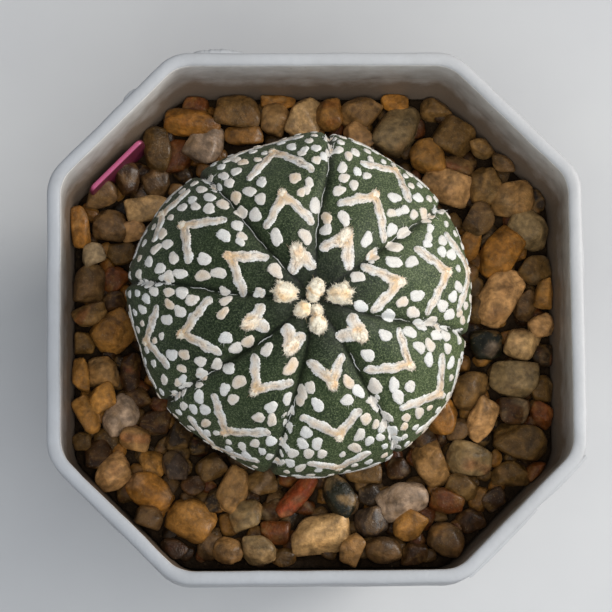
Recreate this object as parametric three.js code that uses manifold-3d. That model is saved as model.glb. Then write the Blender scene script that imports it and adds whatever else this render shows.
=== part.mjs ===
// Potted star cactus: a low, eight-ribbed cactus flecked with white felt, set in an octagonal
// plastic pot with soil, a gravel top dressing and a plant label.
// Millimetres, +Z up. The origin is the centre of the pot's underside.

import * as THREE from "three";
import { mergeVertices } from "three/addons/utils/BufferGeometryUtils.js";
import Module from "manifold-3d";

const wasm = await Module();
wasm.setup();

// Driving dimensions

const CLEARANCE = 0.3; // left between neighbouring pieces

// Pot, an octagon with four long sides and four shorter corner sides
const POT_HEIGHT = 80;
const RIM_STRAIGHT = 44; // centre to each long side, at the rim
const RIM_CORNER = 47.7; // centre to each corner side, at the rim
const RIM_ROUNDING = 7;
const LIP_WIDTH = 2.2;
const LIP_ROUNDING = 0.6;
const COLLAR_HEIGHT = 9.5;
const COLLAR_STEP = 1.2; // how far the collar stands out from the wall below it
const WALL = 1.3;
const TAPER = 10.8; // how far each wall moves in between the collar and the foot
const FOOT_WIDTH = 4.5;
const FOOT_HEIGHT = 1.4;
const FOOT_BEVEL = 0.8;
const FLOOR = 3;
const DRAIN_RADIUS = 1.9;
const DRAIN_CIRCLE = 17;
const DRAIN_COUNT = 4;

// Soil and gravel
const SOIL_TOP = 60;
const BED_TOP = 62.6; // between the pebbles
const PEBBLE_TOP = 66.2; // of the upper pebbles
const DEEP_PEBBLE_TOP = 64.6; // of those that lie between and under them

// Cactus
const BODY_RADIUS = 28.9;
const BODY_RISE = 19; // widest circle to crown
const BODY_DROP = 17; // widest circle to base
const BODY_FULLNESS = 2.25; // 2 is an ellipse, and more is boxier
const BASE_ANGLE = 0.78 * Math.PI; // where the base leaves that profile, measured from the crown
const CROWN_DIMPLE = 1.2;
const CROWN_DIMPLE_RADIUS = 4;
const BODY_CENTRE = new THREE.Vector3(-2.9, 1.9, 78);
const LEAN = 8; // degrees
const LEAN_BEARING = -43; // degrees anticlockwise from +X
const RIB_DEPTH = 1.5; // how far the skin falls from a rib's crest to its edge
const LIMB_RIB_SHARE = 0.25; // and the share of it that is left at the widest circle
const RIB_CURVE = 1.7;
const GROOVE_DEPTH = 0.8;
const GROOVE_HALF_WIDTH = 0.6;
const ROOT_RADIUS = 8;
const ROOT_LENGTH = 26; // below the base

// Felt on the skin
const ARM_FELT = 0.5;
const ARM_BOW = 0.5; // how far the middle of an arm hangs towards the crown
const DOT_LENGTH = 2.7;
const DOT_WIDTH = 2.1;
const DOT_FELT = 0.5;
const DOT_VARIATION = 0.12;
const DOT_MERGE = 2.3; // dots nearer than this are one mound
const TUFT_WIDTH = 1.1; // of the wool on an areole, each way from its middle
const TUFT_LENGTH = 1.4;
const TUFT_HEIGHT = 0.9;
const YOUNG_AREOLE = 14; // areoles nearer than this to the crown are woollier
const YOUNG_GROWTH = 1.55;
const BALL_RADIUS = 1.8;
const BALL_HEIGHT = 1.6;
const ROOTING = 0.4; // how deep dots and tufts are sunk into the body

// Plant label
const LABEL_WIDTH = 12.4;
const LABEL_THICKNESS = 0.9;
const LABEL_LENGTH = 48;
const LABEL_POINT = 7;
const LABEL_TOP = new THREE.Vector3(-33, 27.6, 68.2); // middle of the top edge
const LABEL_BEARING = 135; // degrees, the way its back faces
const LABEL_SLOPE = 7.5; // degrees from upright, top outwards
const LABEL_CORNER = 1.2;
const LABEL_TIP_WIDTH = 4;

// Bearings of the grooves in degrees anticlockwise from +X, near the crown and at the widest circle.
const GROOVES = [
  { inner: -17, outer: -10.5 },
  { inner: 35, outer: 35 },
  { inner: 86, outer: 80.5 },
  { inner: 133, outer: 128 },
  { inner: 178, outer: 173 },
  { inner: 221, outer: 216 },
  { inner: 263.5, outer: 260 },
  { inner: 304, outer: 303 },
];

// How far the widest circle lies inside its plain line, at each rib's crest and at the groove
// before it.
const LIMB_SINK = [
  { crest: 0.1, groove: 0.4 },
  { crest: 0.6, groove: -0.4 },
  { crest: 2.2, groove: -0.2 },
  { crest: 1.2, groove: 1.5 },
  { crest: 2, groove: 0.2 },
  { crest: 1.9, groove: 1.2 },
  { crest: 0.5, groove: 0.6 },
  { crest: -0.2, groove: -0.7 },
];

// Each rib lies between its groove above and the next. A chevron is its areole and the ends of its
// two arms, each as bearing in degrees and distance along the skin from the crown. A dot is its
// distance across the rib from the bearing dotsFrom, and its distance from the crown. A ball is a
// young woolly areole with no chevron yet.
const RIBS = [
  {
    crest: 11.5,
    ball: [8, 4.2],
    chevrons: [
      [[10.7, 14.3], [-13.6, 9.9], [33.8, 9.5]],
      [[11.8, 24.8], [-7.2, 20.1], [26.8, 19.8]],
    ],
    dotsFrom: 5,
    dots: [
      [-2, 7.8], [2.8, 7.9], [-3.9, 13.3], [-1.8, 15.1], [4.9, 14.9], [-3.6, 17.5], [-0.9, 17.8],
      [4.7, 18], [7.8, 16.9], [-5.8, 19.9], [-5.3, 22], [-2.7, 23.5], [7.7, 22.6], [8.8, 23.6],
      [-4.2, 25.6], [-1.3, 26], [0.3, 27.8], [6.2, 25], [-4, 28.7], [-5.2, 30.2], [8.1, 26.4],
      [10.4, 25], [5.7, 27.5],
    ],
  },
  {
    crest: 58,
    chevrons: [
      [[61.7, 11.1], [37.4, 7.2], [83.1, 8.1]],
      [[57.8, 20.7], [37.6, 15.5], [74.6, 16.4]],
      [[55.1, 30.5], [43.7, 24.8], [68.8, 26.4]],
    ],
    dotsFrom: 57,
    dots: [
      [-4.7, 12.5], [-2.3, 13.2], [2.7, 14.2], [4.3, 11.5], [5.2, 13.6], [-5.1, 18.2], [5.8, 19],
      [4.1, 20.9], [6.1, 21.7], [-3.5, 20.2], [-4.6, 21.6], [-5.2, 22.8], [-2.7, 23.3], [3, 24.1],
      [4.7, 24.1], [7.2, 23.8], [-7, 23.7], [7.2, 27.1], [6.5, 28.9], [9.2, 28], [-6.2, 27.4],
      [-8.5, 26.2], [-7.3, 20.2],
    ],
  },
  {
    crest: 104.5,
    chevrons: [
      [[109.3, 7.5], [85.8, 4.7], [133.9, 5.2]],
      [[105.1, 17.7], [88.7, 12.2], [124.3, 13.8]],
      [[101.4, 30], [87.8, 22.1], [116.6, 24]],
    ],
    dotsFrom: 105,
    dots: [
      [-1.3, 9.9], [3.2, 11.5], [-4.7, 15.6], [-3, 17.9], [-4, 18.3], [-4.9, 19.8], [-2.9, 21.1],
      [3.7, 19], [5.4, 17], [2.5, 22.3], [5, 21.6], [7.5, 22.3], [7.6, 19.4], [-7.5, 24.7],
      [-5.7, 27], [-6.4, 27.8], [-9, 25.7], [-8.3, 27.8], [-4.8, 30], [5.8, 27.9], [7.7, 25.9],
      [8.1, 28.4], [4, 29.9], [4.8, 32], [1.4, 33.4], [7.7, 31.7],
    ],
  },
  {
    crest: 150,
    ball: [170, 4.6],
    chevrons: [
      [[153.5, 14.7], [137.4, 9.7], [179.3, 11.3]],
      [[149.1, 25.7], [136.5, 19.5], [163.9, 21.5]],
      [[147.9, 33.4], [135.4, 31.7], [158.7, 31]],
    ],
    dotsFrom: 153,
    dots: [
      [-1, 7.5], [3.4, 8.8], [-3.8, 15.5], [-2.8, 15], [-5.3, 17.5], [-2.6, 17.9], [3.3, 16],
      [2.2, 19.1], [4.8, 18.7], [-7.9, 22.7], [-6.1, 23.9], [6, 22.8], [4, 24.8], [7.2, 25],
      [-8.2, 26], [-5.6, 26.7], [-6.6, 28.6], [-9.2, 29.3], [-4.7, 29.2], [2.2, 27.4], [6.4, 26.9],
      [0.8, 29.8], [3.6, 29.5], [6, 30.1], [9.6, 29.3],
    ],
  },
  {
    crest: 195.5,
    chevrons: [
      [[201.5, 10.9], [187, 8.3], [217.1, 9.2]],
      [[195.2, 22.7], [179.3, 16.8], [211.9, 17.7]],
      [[194, 33.2], [181.9, 27], [206.1, 28.7]],
    ],
    dotsFrom: 194,
    dots: [
      [-3, 14.3], [-1.1, 14.9], [-4.7, 14.8], [4.5, 12.9], [2.9, 15.7], [5, 15.2], [-4.5, 20.2],
      [-6.2, 22.1], [-3.2, 22.6], [7, 19.8], [5.7, 21.8], [3.9, 24.3], [7.9, 23.3], [3.4, 27],
      [6.1, 26.1], [-6.8, 24.5], [-4.8, 24.5], [-2.5, 25.7], [7.9, 27.1], [8.3, 28.5], [-7.6, 27.7],
      [-6.8, 29.7], [-5.3, 31.3], [-9.1, 29.5], [7.2, 31.6], [-2.9, 8.7],
    ],
  },
  {
    crest: 239.5,
    chevrons: [
      [[244.6, 8.6], [222.7, 6.3], [257.9, 6.2]],
      [[238.4, 17.5], [223.4, 13.3], [257.9, 14.3]],
      [[238.5, 29.2], [224.6, 23.5], [254.1, 24.2]],
    ],
    dotsFrom: 240,
    dots: [
      [-2.3, 11.3], [2.5, 11.7], [-6.1, 18.4], [-3.4, 18.5], [-4.8, 21.4], [-2.7, 21.8],
      [3.3, 19.5], [4.9, 17.3], [2.5, 22.3], [4.6, 21.8], [-7.8, 26.5], [-5.7, 27.7], [6.5, 26],
      [4.5, 28], [-7.4, 29.7], [-4.3, 30.5], [3.1, 30.5], [6.3, 29.1], [-3.1, 33.2], [1.6, 33.9],
      [7.9, 29.9], [-9.1, 31.2], [4.5, 32.4],
    ],
  },
  {
    crest: 282,
    chevrons: [
      [[283.1, 13.9], [264.9, 10.3], [298.7, 10.3]],
      [[282.9, 23.7], [265, 20], [295, 20.2]],
      [[282.6, 32.7], [270.7, 30.3], [293.8, 29.8]],
    ],
    dotsFrom: 282,
    dots: [
      [-3.3, 14.7], [-4.7, 15.8], [-5.3, 17.3], [-2.6, 17.6], [3, 15], [2.3, 17.8], [4.5, 17.3],
      [-5, 22.9], [5, 22.4], [-5.8, 25.3], [-3.4, 25.2], [3.7, 25], [6.6, 24.2], [-4.9, 27.5],
      [-2.7, 27.7], [-7.5, 27.8], [2.8, 27.6], [5.2, 26.9], [7.6, 25.6], [7.1, 27.1], [6.9, 20.6],
      [-8, 30.6], [-6.3, 31.9],
    ],
  },
  {
    crest: 326,
    chevrons: [
      [[322.7, 9.5], [299, 7.4], [336.9, 6.4]],
      [[326.6, 19.5], [306.2, 14.8], [342.2, 15.3]],
      [[326, 29.2], [310.3, 24.1], [339.3, 25.6]],
    ],
    dotsFrom: 322,
    dots: [
      [-1.7, 13], [2.6, 13.3], [-4.7, 18.3], [-2.5, 20], [-3.4, 22.3], [-0.9, 22.5], [6, 17.7],
      [5, 20.2], [6.6, 22.2], [4.5, 22.9], [8.9, 23.4], [-4.9, 26.7], [-2.8, 28.2], [-6.1, 28.1],
      [8.5, 26.8], [7.1, 28.9], [10.1, 25.7], [-8.7, 25.4], [-8, 27.7], [-7, 21.2],
    ],
  },
];

// Below the widest circle each rib goes on with chevrons at an even spacing and dots between them.
const LOWER_SPACING = 8.5;
const LOWER_END = 48; // distance from the crown where the felt stops
const LOWER_ARM_SPREAD = 15; // degrees to each side of the crest
const LOWER_ARM_RUN = 5.5; // how far an arm reaches back towards the crown
const LOWER_DOTS_PER_RIB = 5;
const LOWER_DOTS_FROM = 33;
const LOWER_DOT_GAP = 3.2;
const LOWER_DOT_TRIES = 80;

// Wool at the crown: bearing, distance from the crown, radius and height of each lobe.
const CROWN_LOBES = [
  { bearing: 75, along: 1.6, radius: 1.8, height: 2.3 },
  { bearing: 95, along: 0.3, radius: 1.5, height: 2 },
  { bearing: 228, along: 2.6, radius: 1.5, height: 1.8 },
  { bearing: 285, along: 2.2, radius: 1.2, height: 1.6 },
  { bearing: 279, along: 4.4, radius: 1.6, height: 1.8 },
];

// Upper pebbles: x, y, length, width and turn of the length in degrees anticlockwise from +X.
const UPPER_PEBBLES = [
  [-35.5, 23.8, 6, 5.5, 90], [-31, 26, 6, 4.3, 95], [-26, 31, 8.5, 4.8, 105],
  [-27.5, 20.8, 8, 4.5, 10], [-34, 18, 6, 5.4, -10], [-39, 17.5, 7.5, 3.2, 95],
  [-30, 17, 4.5, 3.6, 10], [-37, 13, 4.2, 3.8, 20], [-20, 35.6, 10, 4.8, -8],
  [-17.5, 32, 7.4, 6.2, 60], [-12.3, 37.8, 8, 5.8, -10], [-11.5, 33.3, 7, 3.6, -5],
  [-1, 36.5, 8, 6, 65], [3.2, 36.7, 5.8, 5, 100], [8.3, 38.2, 8, 6.6, 60],
  [8, 33, 5.6, 4.4, -50], [15, 34.5, 9.8, 7.3, 60], [19.8, 29.8, 6.4, 6, 0],
  [25, 34, 8.2, 7.4, 60], [29.3, 31.3, 4.8, 4.4, 30], [32.8, 28.6, 4.4, 3.8, 0],
  [23, 24.5, 9, 6.6, -25], [29.5, 24.6, 7, 6, 80], [34.3, 22.2, 8.2, 6.2, 10],
  [28.5, 18.6, 6, 4.8, 60], [37, 17, 8, 7, -20], [31.8, 13, 9.5, 6.4, 60],
  [37.6, 9.8, 6.3, 5, 0], [31.5, 5.5, 10.8, 6.6, 60], [39.4, 5.8, 5.6, 4, 80],
  [38.6, 0.5, 5, 4.1, 10], [35, -2.5, 6, 5.6, -20], [29, -2.7, 5.6, 5.2, 0],
  [33.5, -8.7, 8.6, 6.6, -5], [26, -10.5, 7.2, 5.8, 75], [21.5, -14.8, 6.5, 5, 70],
  [28, -15.5, 7.6, 4.6, 60], [33.6, -14, 5.2, 4.6, 0], [34.7, -19.3, 9.6, 6.3, -10],
  [25.7, -21.8, 8.2, 6.2, -5], [19.3, -22.6, 8.6, 5.6, 110], [14.8, -28.8, 9, 6, 25],
  [24.7, -26.7, 5.6, 4.2, -25], [22, -29.1, 5.8, 4.3, -15], [22, -35.4, 6.8, 5.8, -20],
  [15.5, -33.2, 5.6, 5.2, 60], [9.3, -32.6, 5.9, 5.5, 0], [4, -28, 8.2, 5, 120],
  [-3, -28.2, 9.4, 3.6, 45], [0.8, -34.5, 10.4, 6.8, 10], [6, -36.8, 5.8, 4, 65],
  [11.3, -37.2, 6.2, 4.7, 5], [-11.3, -31, 6.2, 4.8, 20], [-13.5, -27, 7.8, 5.2, 60],
  [-17.2, -23.2, 5.2, 4.6, 30], [-20.5, -31.6, 8.4, 7.4, -30], [-27.7, -27, 8.8, 6.2, -35],
  [-33.5, -24, 7, 5.6, 40], [-23.3, -22.8, 5, 4.6, 90], [-27.5, -31.2, 4.8, 4, -20],
  [-32.2, -14.6, 7.6, 5.6, 60], [-29.8, -18.2, 5.4, 4.4, -10], [-37.8, -14.2, 6.8, 4, 115],
  [-14.5, -37.2, 5.2, 4.6, -20], [-9.3, -37.2, 6, 5, 0], [-37.5, 8.2, 7, 5.4, 80],
  [-33.3, -0.3, 7.6, 7.2, 30], [-37.5, 2.6, 6.2, 3.8, 20], [-35.2, -6.8, 5.6, 5.2, 0],
  [-39, -7.5, 5.8, 3.1, 90], [-35.2, -11.6, 5, 4.4, 20], [-6.2, 36.3, 5.8, 5, 70],
];

// Deeper pebbles, seen between the upper ones, in the same form.
const DEEP_PEBBLES = [
  [-26.5, 25.6, 6, 5, 90], [-32.2, 13.3, 5, 4, 0], [-19.5, 38.6, 4.6, 3.6, 0],
  [-22.5, 30, 6, 5, 90], [-5.5, 39.4, 6, 3, 0], [14.3, 39, 4.8, 3.2, 0],
  [21.5, 38.2, 6.2, 4.6, 10], [24.6, 28.2, 6, 4, 0], [38.4, 22.5, 4.6, 3.8, 90],
  [26.4, 14.2, 5.2, 4.2, 80], [26.3, 9, 4.6, 3.6, 90], [36, 4, 5.8, 4, 60],
  [38.6, -10, 5, 4.2, 80], [39, -4.4, 4.2, 4, 0], [27.8, 3.2, 5, 3.6, 80],
  [38.4, -14.5, 4.8, 4.2, -30], [24, -17, 4.4, 4, 0], [33, -24.4, 7, 4.2, 0],
  [26, -32.2, 4.8, 4.2, 20], [16.5, -37.6, 4.6, 4.2, 0], [8, -24, 6.6, 4, 0],
  [14, -23.4, 4.4, 4, 0], [9.5, -27.6, 4.4, 4.2, 0], [37.2, -24, 4.2, 3.4, 40],
  [30, -28.6, 4.4, 3.6, 40], [-27.2, -22.4, 5.2, 4.4, 90], [-36, -20.5, 5.6, 5, 90],
  [-39, -18.5, 3.6, 3.2, 0], [-26.5, -15.5, 5.6, 4.4, 0], [-6.5, -34, 5.4, 4.2, 0],
  [-17.5, -36, 5.4, 4.4, 90], [-23.6, -36.4, 4.6, 3.2, -40], [-5, -38, 3.8, 3.4, 0],
  [-16.5, -28.6, 4.4, 3.6, 90], [-20.3, -26.2, 4.2, 3.6, 0], [-33.4, 8.8, 5, 3.8, 50],
  [-38.2, -2, 4, 3.8, 0], [-30.7, -7, 7, 3.6, 85], [-33.6, 5, 4.6, 3.6, 0],
  [-9, -25.6, 5.4, 4.4, 15], [-4, -24.2, 4.8, 4, 70], [1, -24.8, 5.2, 4.2, -20],
  [-7, -30.2, 5, 4, 40], [-22.6, -18.2, 5.2, 4.2, 60], [-29.8, -11.2, 4.8, 3.8, 20],
  [18.6, -18.6, 5, 4, -30], [-29, 0.4, 5, 4, 80],
];

// Plain helpers

// Values from 0 to 1 that are the same on every run.
function seededDraw(seed) {
  let state = seed;
  return () => {
    state = (state * 1664525 + 1013904223) % 4294967296;
    return state / 4294967296;
  };
}

function smoothStep(low, high, value) {
  const t = Math.min(1, Math.max(0, (value - low) / (high - low)));
  return t * t * (3 - 2 * t);
}

const radians = (degrees) => (degrees * Math.PI) / 180;

// A closed geometry as a solid that can be joined and cut.
function solidOf(geometry) {
  const plain = geometry.index ? geometry.toNonIndexed() : geometry;
  const bare = new THREE.BufferGeometry();
  bare.setAttribute("position", plain.getAttribute("position"));
  const merged = mergeVertices(bare, 1e-4);
  return new wasm.Manifold(
    new wasm.Mesh({
      numProp: 3,
      vertProperties: merged.getAttribute("position").array,
      triVerts: new Uint32Array(merged.index.array),
    }),
  );
}

function joined(solids) {
  let level = solids;
  while (level.length > 1) {
    const next = [];
    for (let i = 0; i < level.length; i += 2) {
      next.push(i + 1 < level.length ? level[i].add(level[i + 1]) : level[i]);
    }
    level = next;
  }
  return level[0];
}

// The largest body of a solid, so that a scrap cut loose at an edge is dropped.
function mainBody(solid) {
  return solid.decompose().reduce((a, b) => (a.volume() > b.volume() ? a : b));
}

function meshOf(name, solid, look) {
  const { vertProperties, triVerts, numProp } = solid.getMesh();
  const geometry = new THREE.BufferGeometry();
  geometry.setAttribute("position", new THREE.BufferAttribute(vertProperties, numProp));
  geometry.setIndex(new THREE.BufferAttribute(triVerts, 1));
  geometry.computeVertexNormals();
  const mesh = new THREE.Mesh(geometry, new THREE.MeshStandardMaterial(look));
  mesh.name = name;
  return mesh;
}

// A closed skin through rings of equal length, each ring anticlockwise about the way they follow.
function loft(rings, firstCentre, lastCentre) {
  const size = rings[0].length;
  const points = rings.flat();
  const index = [];
  for (let row = 0; row + 1 < rings.length; row++) {
    for (let column = 0; column < size; column++) {
      const a = row * size + column;
      const b = row * size + ((column + 1) % size);
      index.push(a, b, b + size, a, b + size, a + size);
    }
  }
  const last = (rings.length - 1) * size;
  const first = points.push(firstCentre) - 1;
  const end = points.push(lastCentre) - 1;
  for (let column = 0; column < size; column++) {
    const next = (column + 1) % size;
    index.push(first, next, column, end, last + column, last + next);
  }
  return new THREE.BufferGeometry().setFromPoints(points).setIndex(index);
}

// Pot, soil and gravel bed

const CORNER_STEPS = 3;

// A rounded octagon at height z, inset from the rim's outer line.
function octagon(inset, z) {
  const points = [];
  const rounding = Math.max(2, RIM_ROUNDING - inset / 2);
  for (let side = 0; side < 8; side++) {
    const a = radians(side * 45);
    const b = radians(side * 45 + 45);
    const near = (side % 2 ? RIM_CORNER : RIM_STRAIGHT) - inset - rounding;
    const far = (side % 2 ? RIM_STRAIGHT : RIM_CORNER) - inset - rounding;
    const x = (near * Math.sin(b) - far * Math.sin(a)) / Math.sin(b - a);
    const y = (far * Math.cos(a) - near * Math.cos(b)) / Math.sin(b - a);
    for (let step = 0; step <= CORNER_STEPS; step++) {
      const turn = a + ((b - a) * step) / CORNER_STEPS;
      const out = new THREE.Vector3(Math.cos(turn), Math.sin(turn), 0).multiplyScalar(rounding);
      points.push(new THREE.Vector3(x, y, z).add(out));
    }
  }
  return points;
}

function octagonLoft(levels) {
  const bottom = new THREE.Vector3(0, 0, levels[0].z);
  const top = new THREE.Vector3(0, 0, levels[levels.length - 1].z);
  const rings = levels.map(({ inset, z }) => octagon(inset, z));
  return solidOf(loft(rings, bottom, top));
}

const COLLAR_BASE = POT_HEIGHT - COLLAR_HEIGHT;

// Inset of the wall's outer face below the collar.
function outerInset(z) {
  return COLLAR_STEP + (TAPER * (COLLAR_BASE - z)) / COLLAR_BASE;
}

// Inset of the wall's inner face: near upright inside the collar and parallel to the outer below.
function innerInset(z) {
  const below = outerInset(Math.min(z, COLLAR_BASE)) + WALL;
  const rise = Math.max(0, z - COLLAR_BASE) / COLLAR_HEIGHT;
  return below + (LIP_WIDTH - below) * rise;
}

function makePot() {
  const wall = octagonLoft([
    { inset: outerInset(0) + FOOT_WIDTH, z: FOOT_HEIGHT },
    { inset: outerInset(0) + FOOT_WIDTH, z: 0 },
    { inset: outerInset(0) + FOOT_BEVEL, z: 0 },
    { inset: outerInset(0), z: FOOT_BEVEL },
    { inset: outerInset(COLLAR_BASE), z: COLLAR_BASE },
    { inset: 0.3, z: COLLAR_BASE },
    { inset: 0, z: POT_HEIGHT - LIP_ROUNDING },
    { inset: LIP_ROUNDING, z: POT_HEIGHT },
    { inset: LIP_WIDTH - LIP_ROUNDING, z: POT_HEIGHT },
    { inset: LIP_WIDTH, z: POT_HEIGHT - LIP_ROUNDING },
    { inset: innerInset(COLLAR_BASE), z: COLLAR_BASE },
    { inset: innerInset(FLOOR), z: FLOOR },
  ]);
  const drains = [];
  for (let i = 0; i < DRAIN_COUNT; i++) {
    const turn = radians(45 + (i * 360) / DRAIN_COUNT);
    const drain = new THREE.CylinderGeometry(DRAIN_RADIUS, DRAIN_RADIUS, 4 * FLOOR, 10);
    drain.rotateX(Math.PI / 2);
    drain.translate(DRAIN_CIRCLE * Math.cos(turn), DRAIN_CIRCLE * Math.sin(turn), 0);
    drains.push(solidOf(drain));
  }
  return wall.subtract(joined(drains));
}

// Everything inside the pot's walls between two heights, less the clearance.
function fill(low, high) {
  return octagonLoft([
    { inset: innerInset(low) + CLEARANCE, z: low },
    { inset: innerInset(high) + CLEARANCE, z: high },
  ]);
}

// Cactus body

const PROFILE_STEPS = 1500;

// The plain profile as points {along, r, z}: distance along the skin, radius, height over the
// widest circle.
function makeProfile() {
  const points = [];
  for (let step = 0; step <= PROFILE_STEPS; step++) {
    const angle = (BASE_ANGLE * step) / PROFILE_STEPS;
    const r = BODY_RADIUS * Math.sin(angle) ** (2 / BODY_FULLNESS);
    const high = Math.cos(angle) >= 0;
    const dimple = high ? CROWN_DIMPLE * Math.exp(-((r / CROWN_DIMPLE_RADIUS) ** 2)) : 0;
    const z = Math.cos(angle) * (high ? BODY_RISE : BODY_DROP) - dimple;
    const before = points[points.length - 1];
    const along = before ? before.along + Math.hypot(r - before.r, z - before.z) : 0;
    points.push({ along, r, z });
  }
  return points;
}

const PROFILE = makeProfile();
const BODY_BASE = PROFILE[PROFILE_STEPS];

function profileAt(along) {
  let low = 0;
  let high = PROFILE_STEPS;
  while (high - low > 1) {
    const middle = (low + high) >> 1;
    if (PROFILE[middle].along > along) high = middle;
    else low = middle;
  }
  const a = PROFILE[low];
  const b = PROFILE[high];
  const t = Math.min(1, Math.max(0, (along - a.along) / (b.along - a.along)));
  const length = Math.hypot(b.r - a.r, b.z - a.z);
  return {
    r: a.r + (b.r - a.r) * t,
    z: a.z + (b.z - a.z) * t,
    outR: -(b.z - a.z) / length,
    outZ: (b.r - a.r) / length,
  };
}

function grooveBearing(index, along) {
  const { inner, outer } = GROOVES[index % 8];
  const turns = 360 * Math.floor(index / 8);
  return inner + (outer - inner) * smoothStep(5, 25, along) + turns;
}

// Bearing of a place on rib number rib: side is -1 at its first groove, 0 on the crest, 1 at its
// other groove.
function ribBearing(rib, side, along) {
  const { crest } = RIBS[rib];
  const edge = grooveBearing(side < 0 ? rib : rib + 1, along);
  return crest + (edge - crest) * Math.abs(side);
}

// How far the skin lies inside the plain profile.
function relief(bearing, along) {
  let turned = bearing;
  while (turned < grooveBearing(0, along)) turned += 360;
  while (turned >= grooveBearing(8, along)) turned -= 360;
  let rib = 0;
  while (turned >= grooveBearing(rib + 1, along)) rib++;
  const { crest } = RIBS[rib];
  const nearGroove = turned < crest ? rib : rib + 1;
  const edge = grooveBearing(nearGroove, along);
  const side = Math.abs((turned - crest) / (edge - crest));
  const toGroove = radians(Math.abs(edge - turned)) * profileAt(along).r;
  const groove = GROOVE_DEPTH * Math.exp(-((toGroove / GROOVE_HALF_WIDTH) ** 2));
  const ribDepth = RIB_DEPTH * (1 - (1 - LIMB_RIB_SHARE) * smoothStep(14, 30, along));
  const depth = (ribDepth * side ** RIB_CURVE + groove) * smoothStep(2, 16, along);
  const sinkAtGroove = LIMB_SINK[nearGroove % 8].groove;
  const sink = LIMB_SINK[rib].crest + (sinkAtGroove - LIMB_SINK[rib].crest) * smoothStep(0, 1, side);
  return (depth + sink * smoothStep(12, 30, along)) * (1 - smoothStep(44, 52, along));
}

const leaning = new THREE.Matrix4().makeRotationAxis(
  new THREE.Vector3(-Math.sin(radians(LEAN_BEARING)), Math.cos(radians(LEAN_BEARING)), 0),
  radians(LEAN),
);
leaning.setPosition(BODY_CENTRE);

// A point over the skin, lift millimetres out from it.
function skinPoint(bearing, along, lift) {
  const { r, z, outR, outZ } = profileAt(along);
  const out = lift - relief(bearing, along);
  const reach = r + outR * out;
  const turn = radians(bearing);
  const point = new THREE.Vector3(reach * Math.cos(turn), reach * Math.sin(turn), z + outZ * out);
  return point.applyMatrix4(leaning);
}

const BODY_SIDES = [-1, -0.9, -0.5, 0, 0.5, 0.9]; // columns of each rib
const BAND_COUNT = 5;
const BAND_HALF = 0.95; // half a band's width, measured along the rib
const BAND_EDGE = 0.2;
const ARM_END = 0.1; // share of the half rib that an arm may reach past its end to a column
const FIRST_ROW = 2.6;
const LAST_ROW = 50.4;
const CROWN_BAND = 7.6; // where a plain band nearest the crown lies
const BASE_BAND = 47.4; // and one nearest the base
const PLAIN_RUN = 2.5; // how far a plain band's ends reach back towards the crown
const BASE_RADIUS = 0.65 * BODY_BASE.r; // of the flat middle of the base
const BASE_HEIGHT = BODY_BASE.z - 1.5;

// Where a bearing falls on a rib, from -1 at its first groove to 1 at its other one.
function sideOf(rib, bearing, along) {
  const { crest } = RIBS[rib];
  const edge = grooveBearing(bearing < crest ? rib : rib + 1, along);
  return (bearing - crest) / Math.abs(edge - crest);
}

// Chevrons of a rib, with those that follow below the widest circle.
function chevronsOf({ crest, chevrons }) {
  const all = [...chevrons];
  let along = chevrons[chevrons.length - 1][0][1] + LOWER_SPACING;
  while (along < LOWER_END) {
    const arms = along - LOWER_ARM_RUN;
    all.push([[crest, along], [crest - LOWER_ARM_SPREAD, arms], [crest + LOWER_ARM_SPREAD, arms]]);
    along += LOWER_SPACING;
  }
  return all;
}

// A band that isn't raised, for a rib with fewer chevrons than the others.
function plainBand(along) {
  return { along, ends: [[-1, along - PLAIN_RUN], [1, along - PLAIN_RUN]], felt: 0 };
}

// A rib's chevrons as raised bands across it. Every rib has the same number, so that the rings of
// the skin meet at the grooves.
function bandsOf(rib) {
  const bands = chevronsOf(RIBS[rib]).map(([areole, ...arms]) => ({
    along: areole[1],
    ends: arms.map(([bearing, along]) => [sideOf(rib, bearing, along), along]),
    felt: ARM_FELT,
  }));
  if (bands[0].along > YOUNG_AREOLE) bands.unshift(plainBand(CROWN_BAND));
  if (bands.length < BAND_COUNT) bands.push(plainBand(BASE_BAND));
  return bands;
}

// How far from the crown a band lies at a side of its rib.
function bandAlong({ along, ends }, side) {
  const [endSide, endAlong] = ends[side < 0 ? 0 : 1];
  const t = side / endSide;
  const bow = t > 0 && t < 1 ? 4 * ARM_BOW * t * (1 - t) : 0;
  return along + (endAlong - along) * t - bow;
}

function bandLift({ ends, felt }, side) {
  const [endSide] = ends[side < 0 ? 0 : 1];
  return Math.abs(side) < Math.abs(endSide) + ARM_END ? felt : 0;
}

// The rows of one column of the skin from the crown down, each as distance and lift. A column in a
// groove takes the mean of the bands' ends.
function columnRows(bands, side, grooveAlongs) {
  const inGroove = side === -1;
  const rows = [{ along: FIRST_ROW, lift: 0 }];
  bands.forEach((band, number) => {
    const middle = inGroove ? grooveAlongs[number] : bandAlong(band, side);
    const lift = inGroove ? 0 : bandLift(band, side);
    rows.push(
      { along: middle - BAND_HALF - BAND_EDGE, lift: 0 },
      { along: middle - BAND_HALF, lift },
      { along: middle + BAND_HALF, lift },
      { along: middle + BAND_HALF + BAND_EDGE, lift: 0 },
    );
  });
  rows.push({ along: LAST_ROW, lift: 0 });
  return rows;
}

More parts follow.
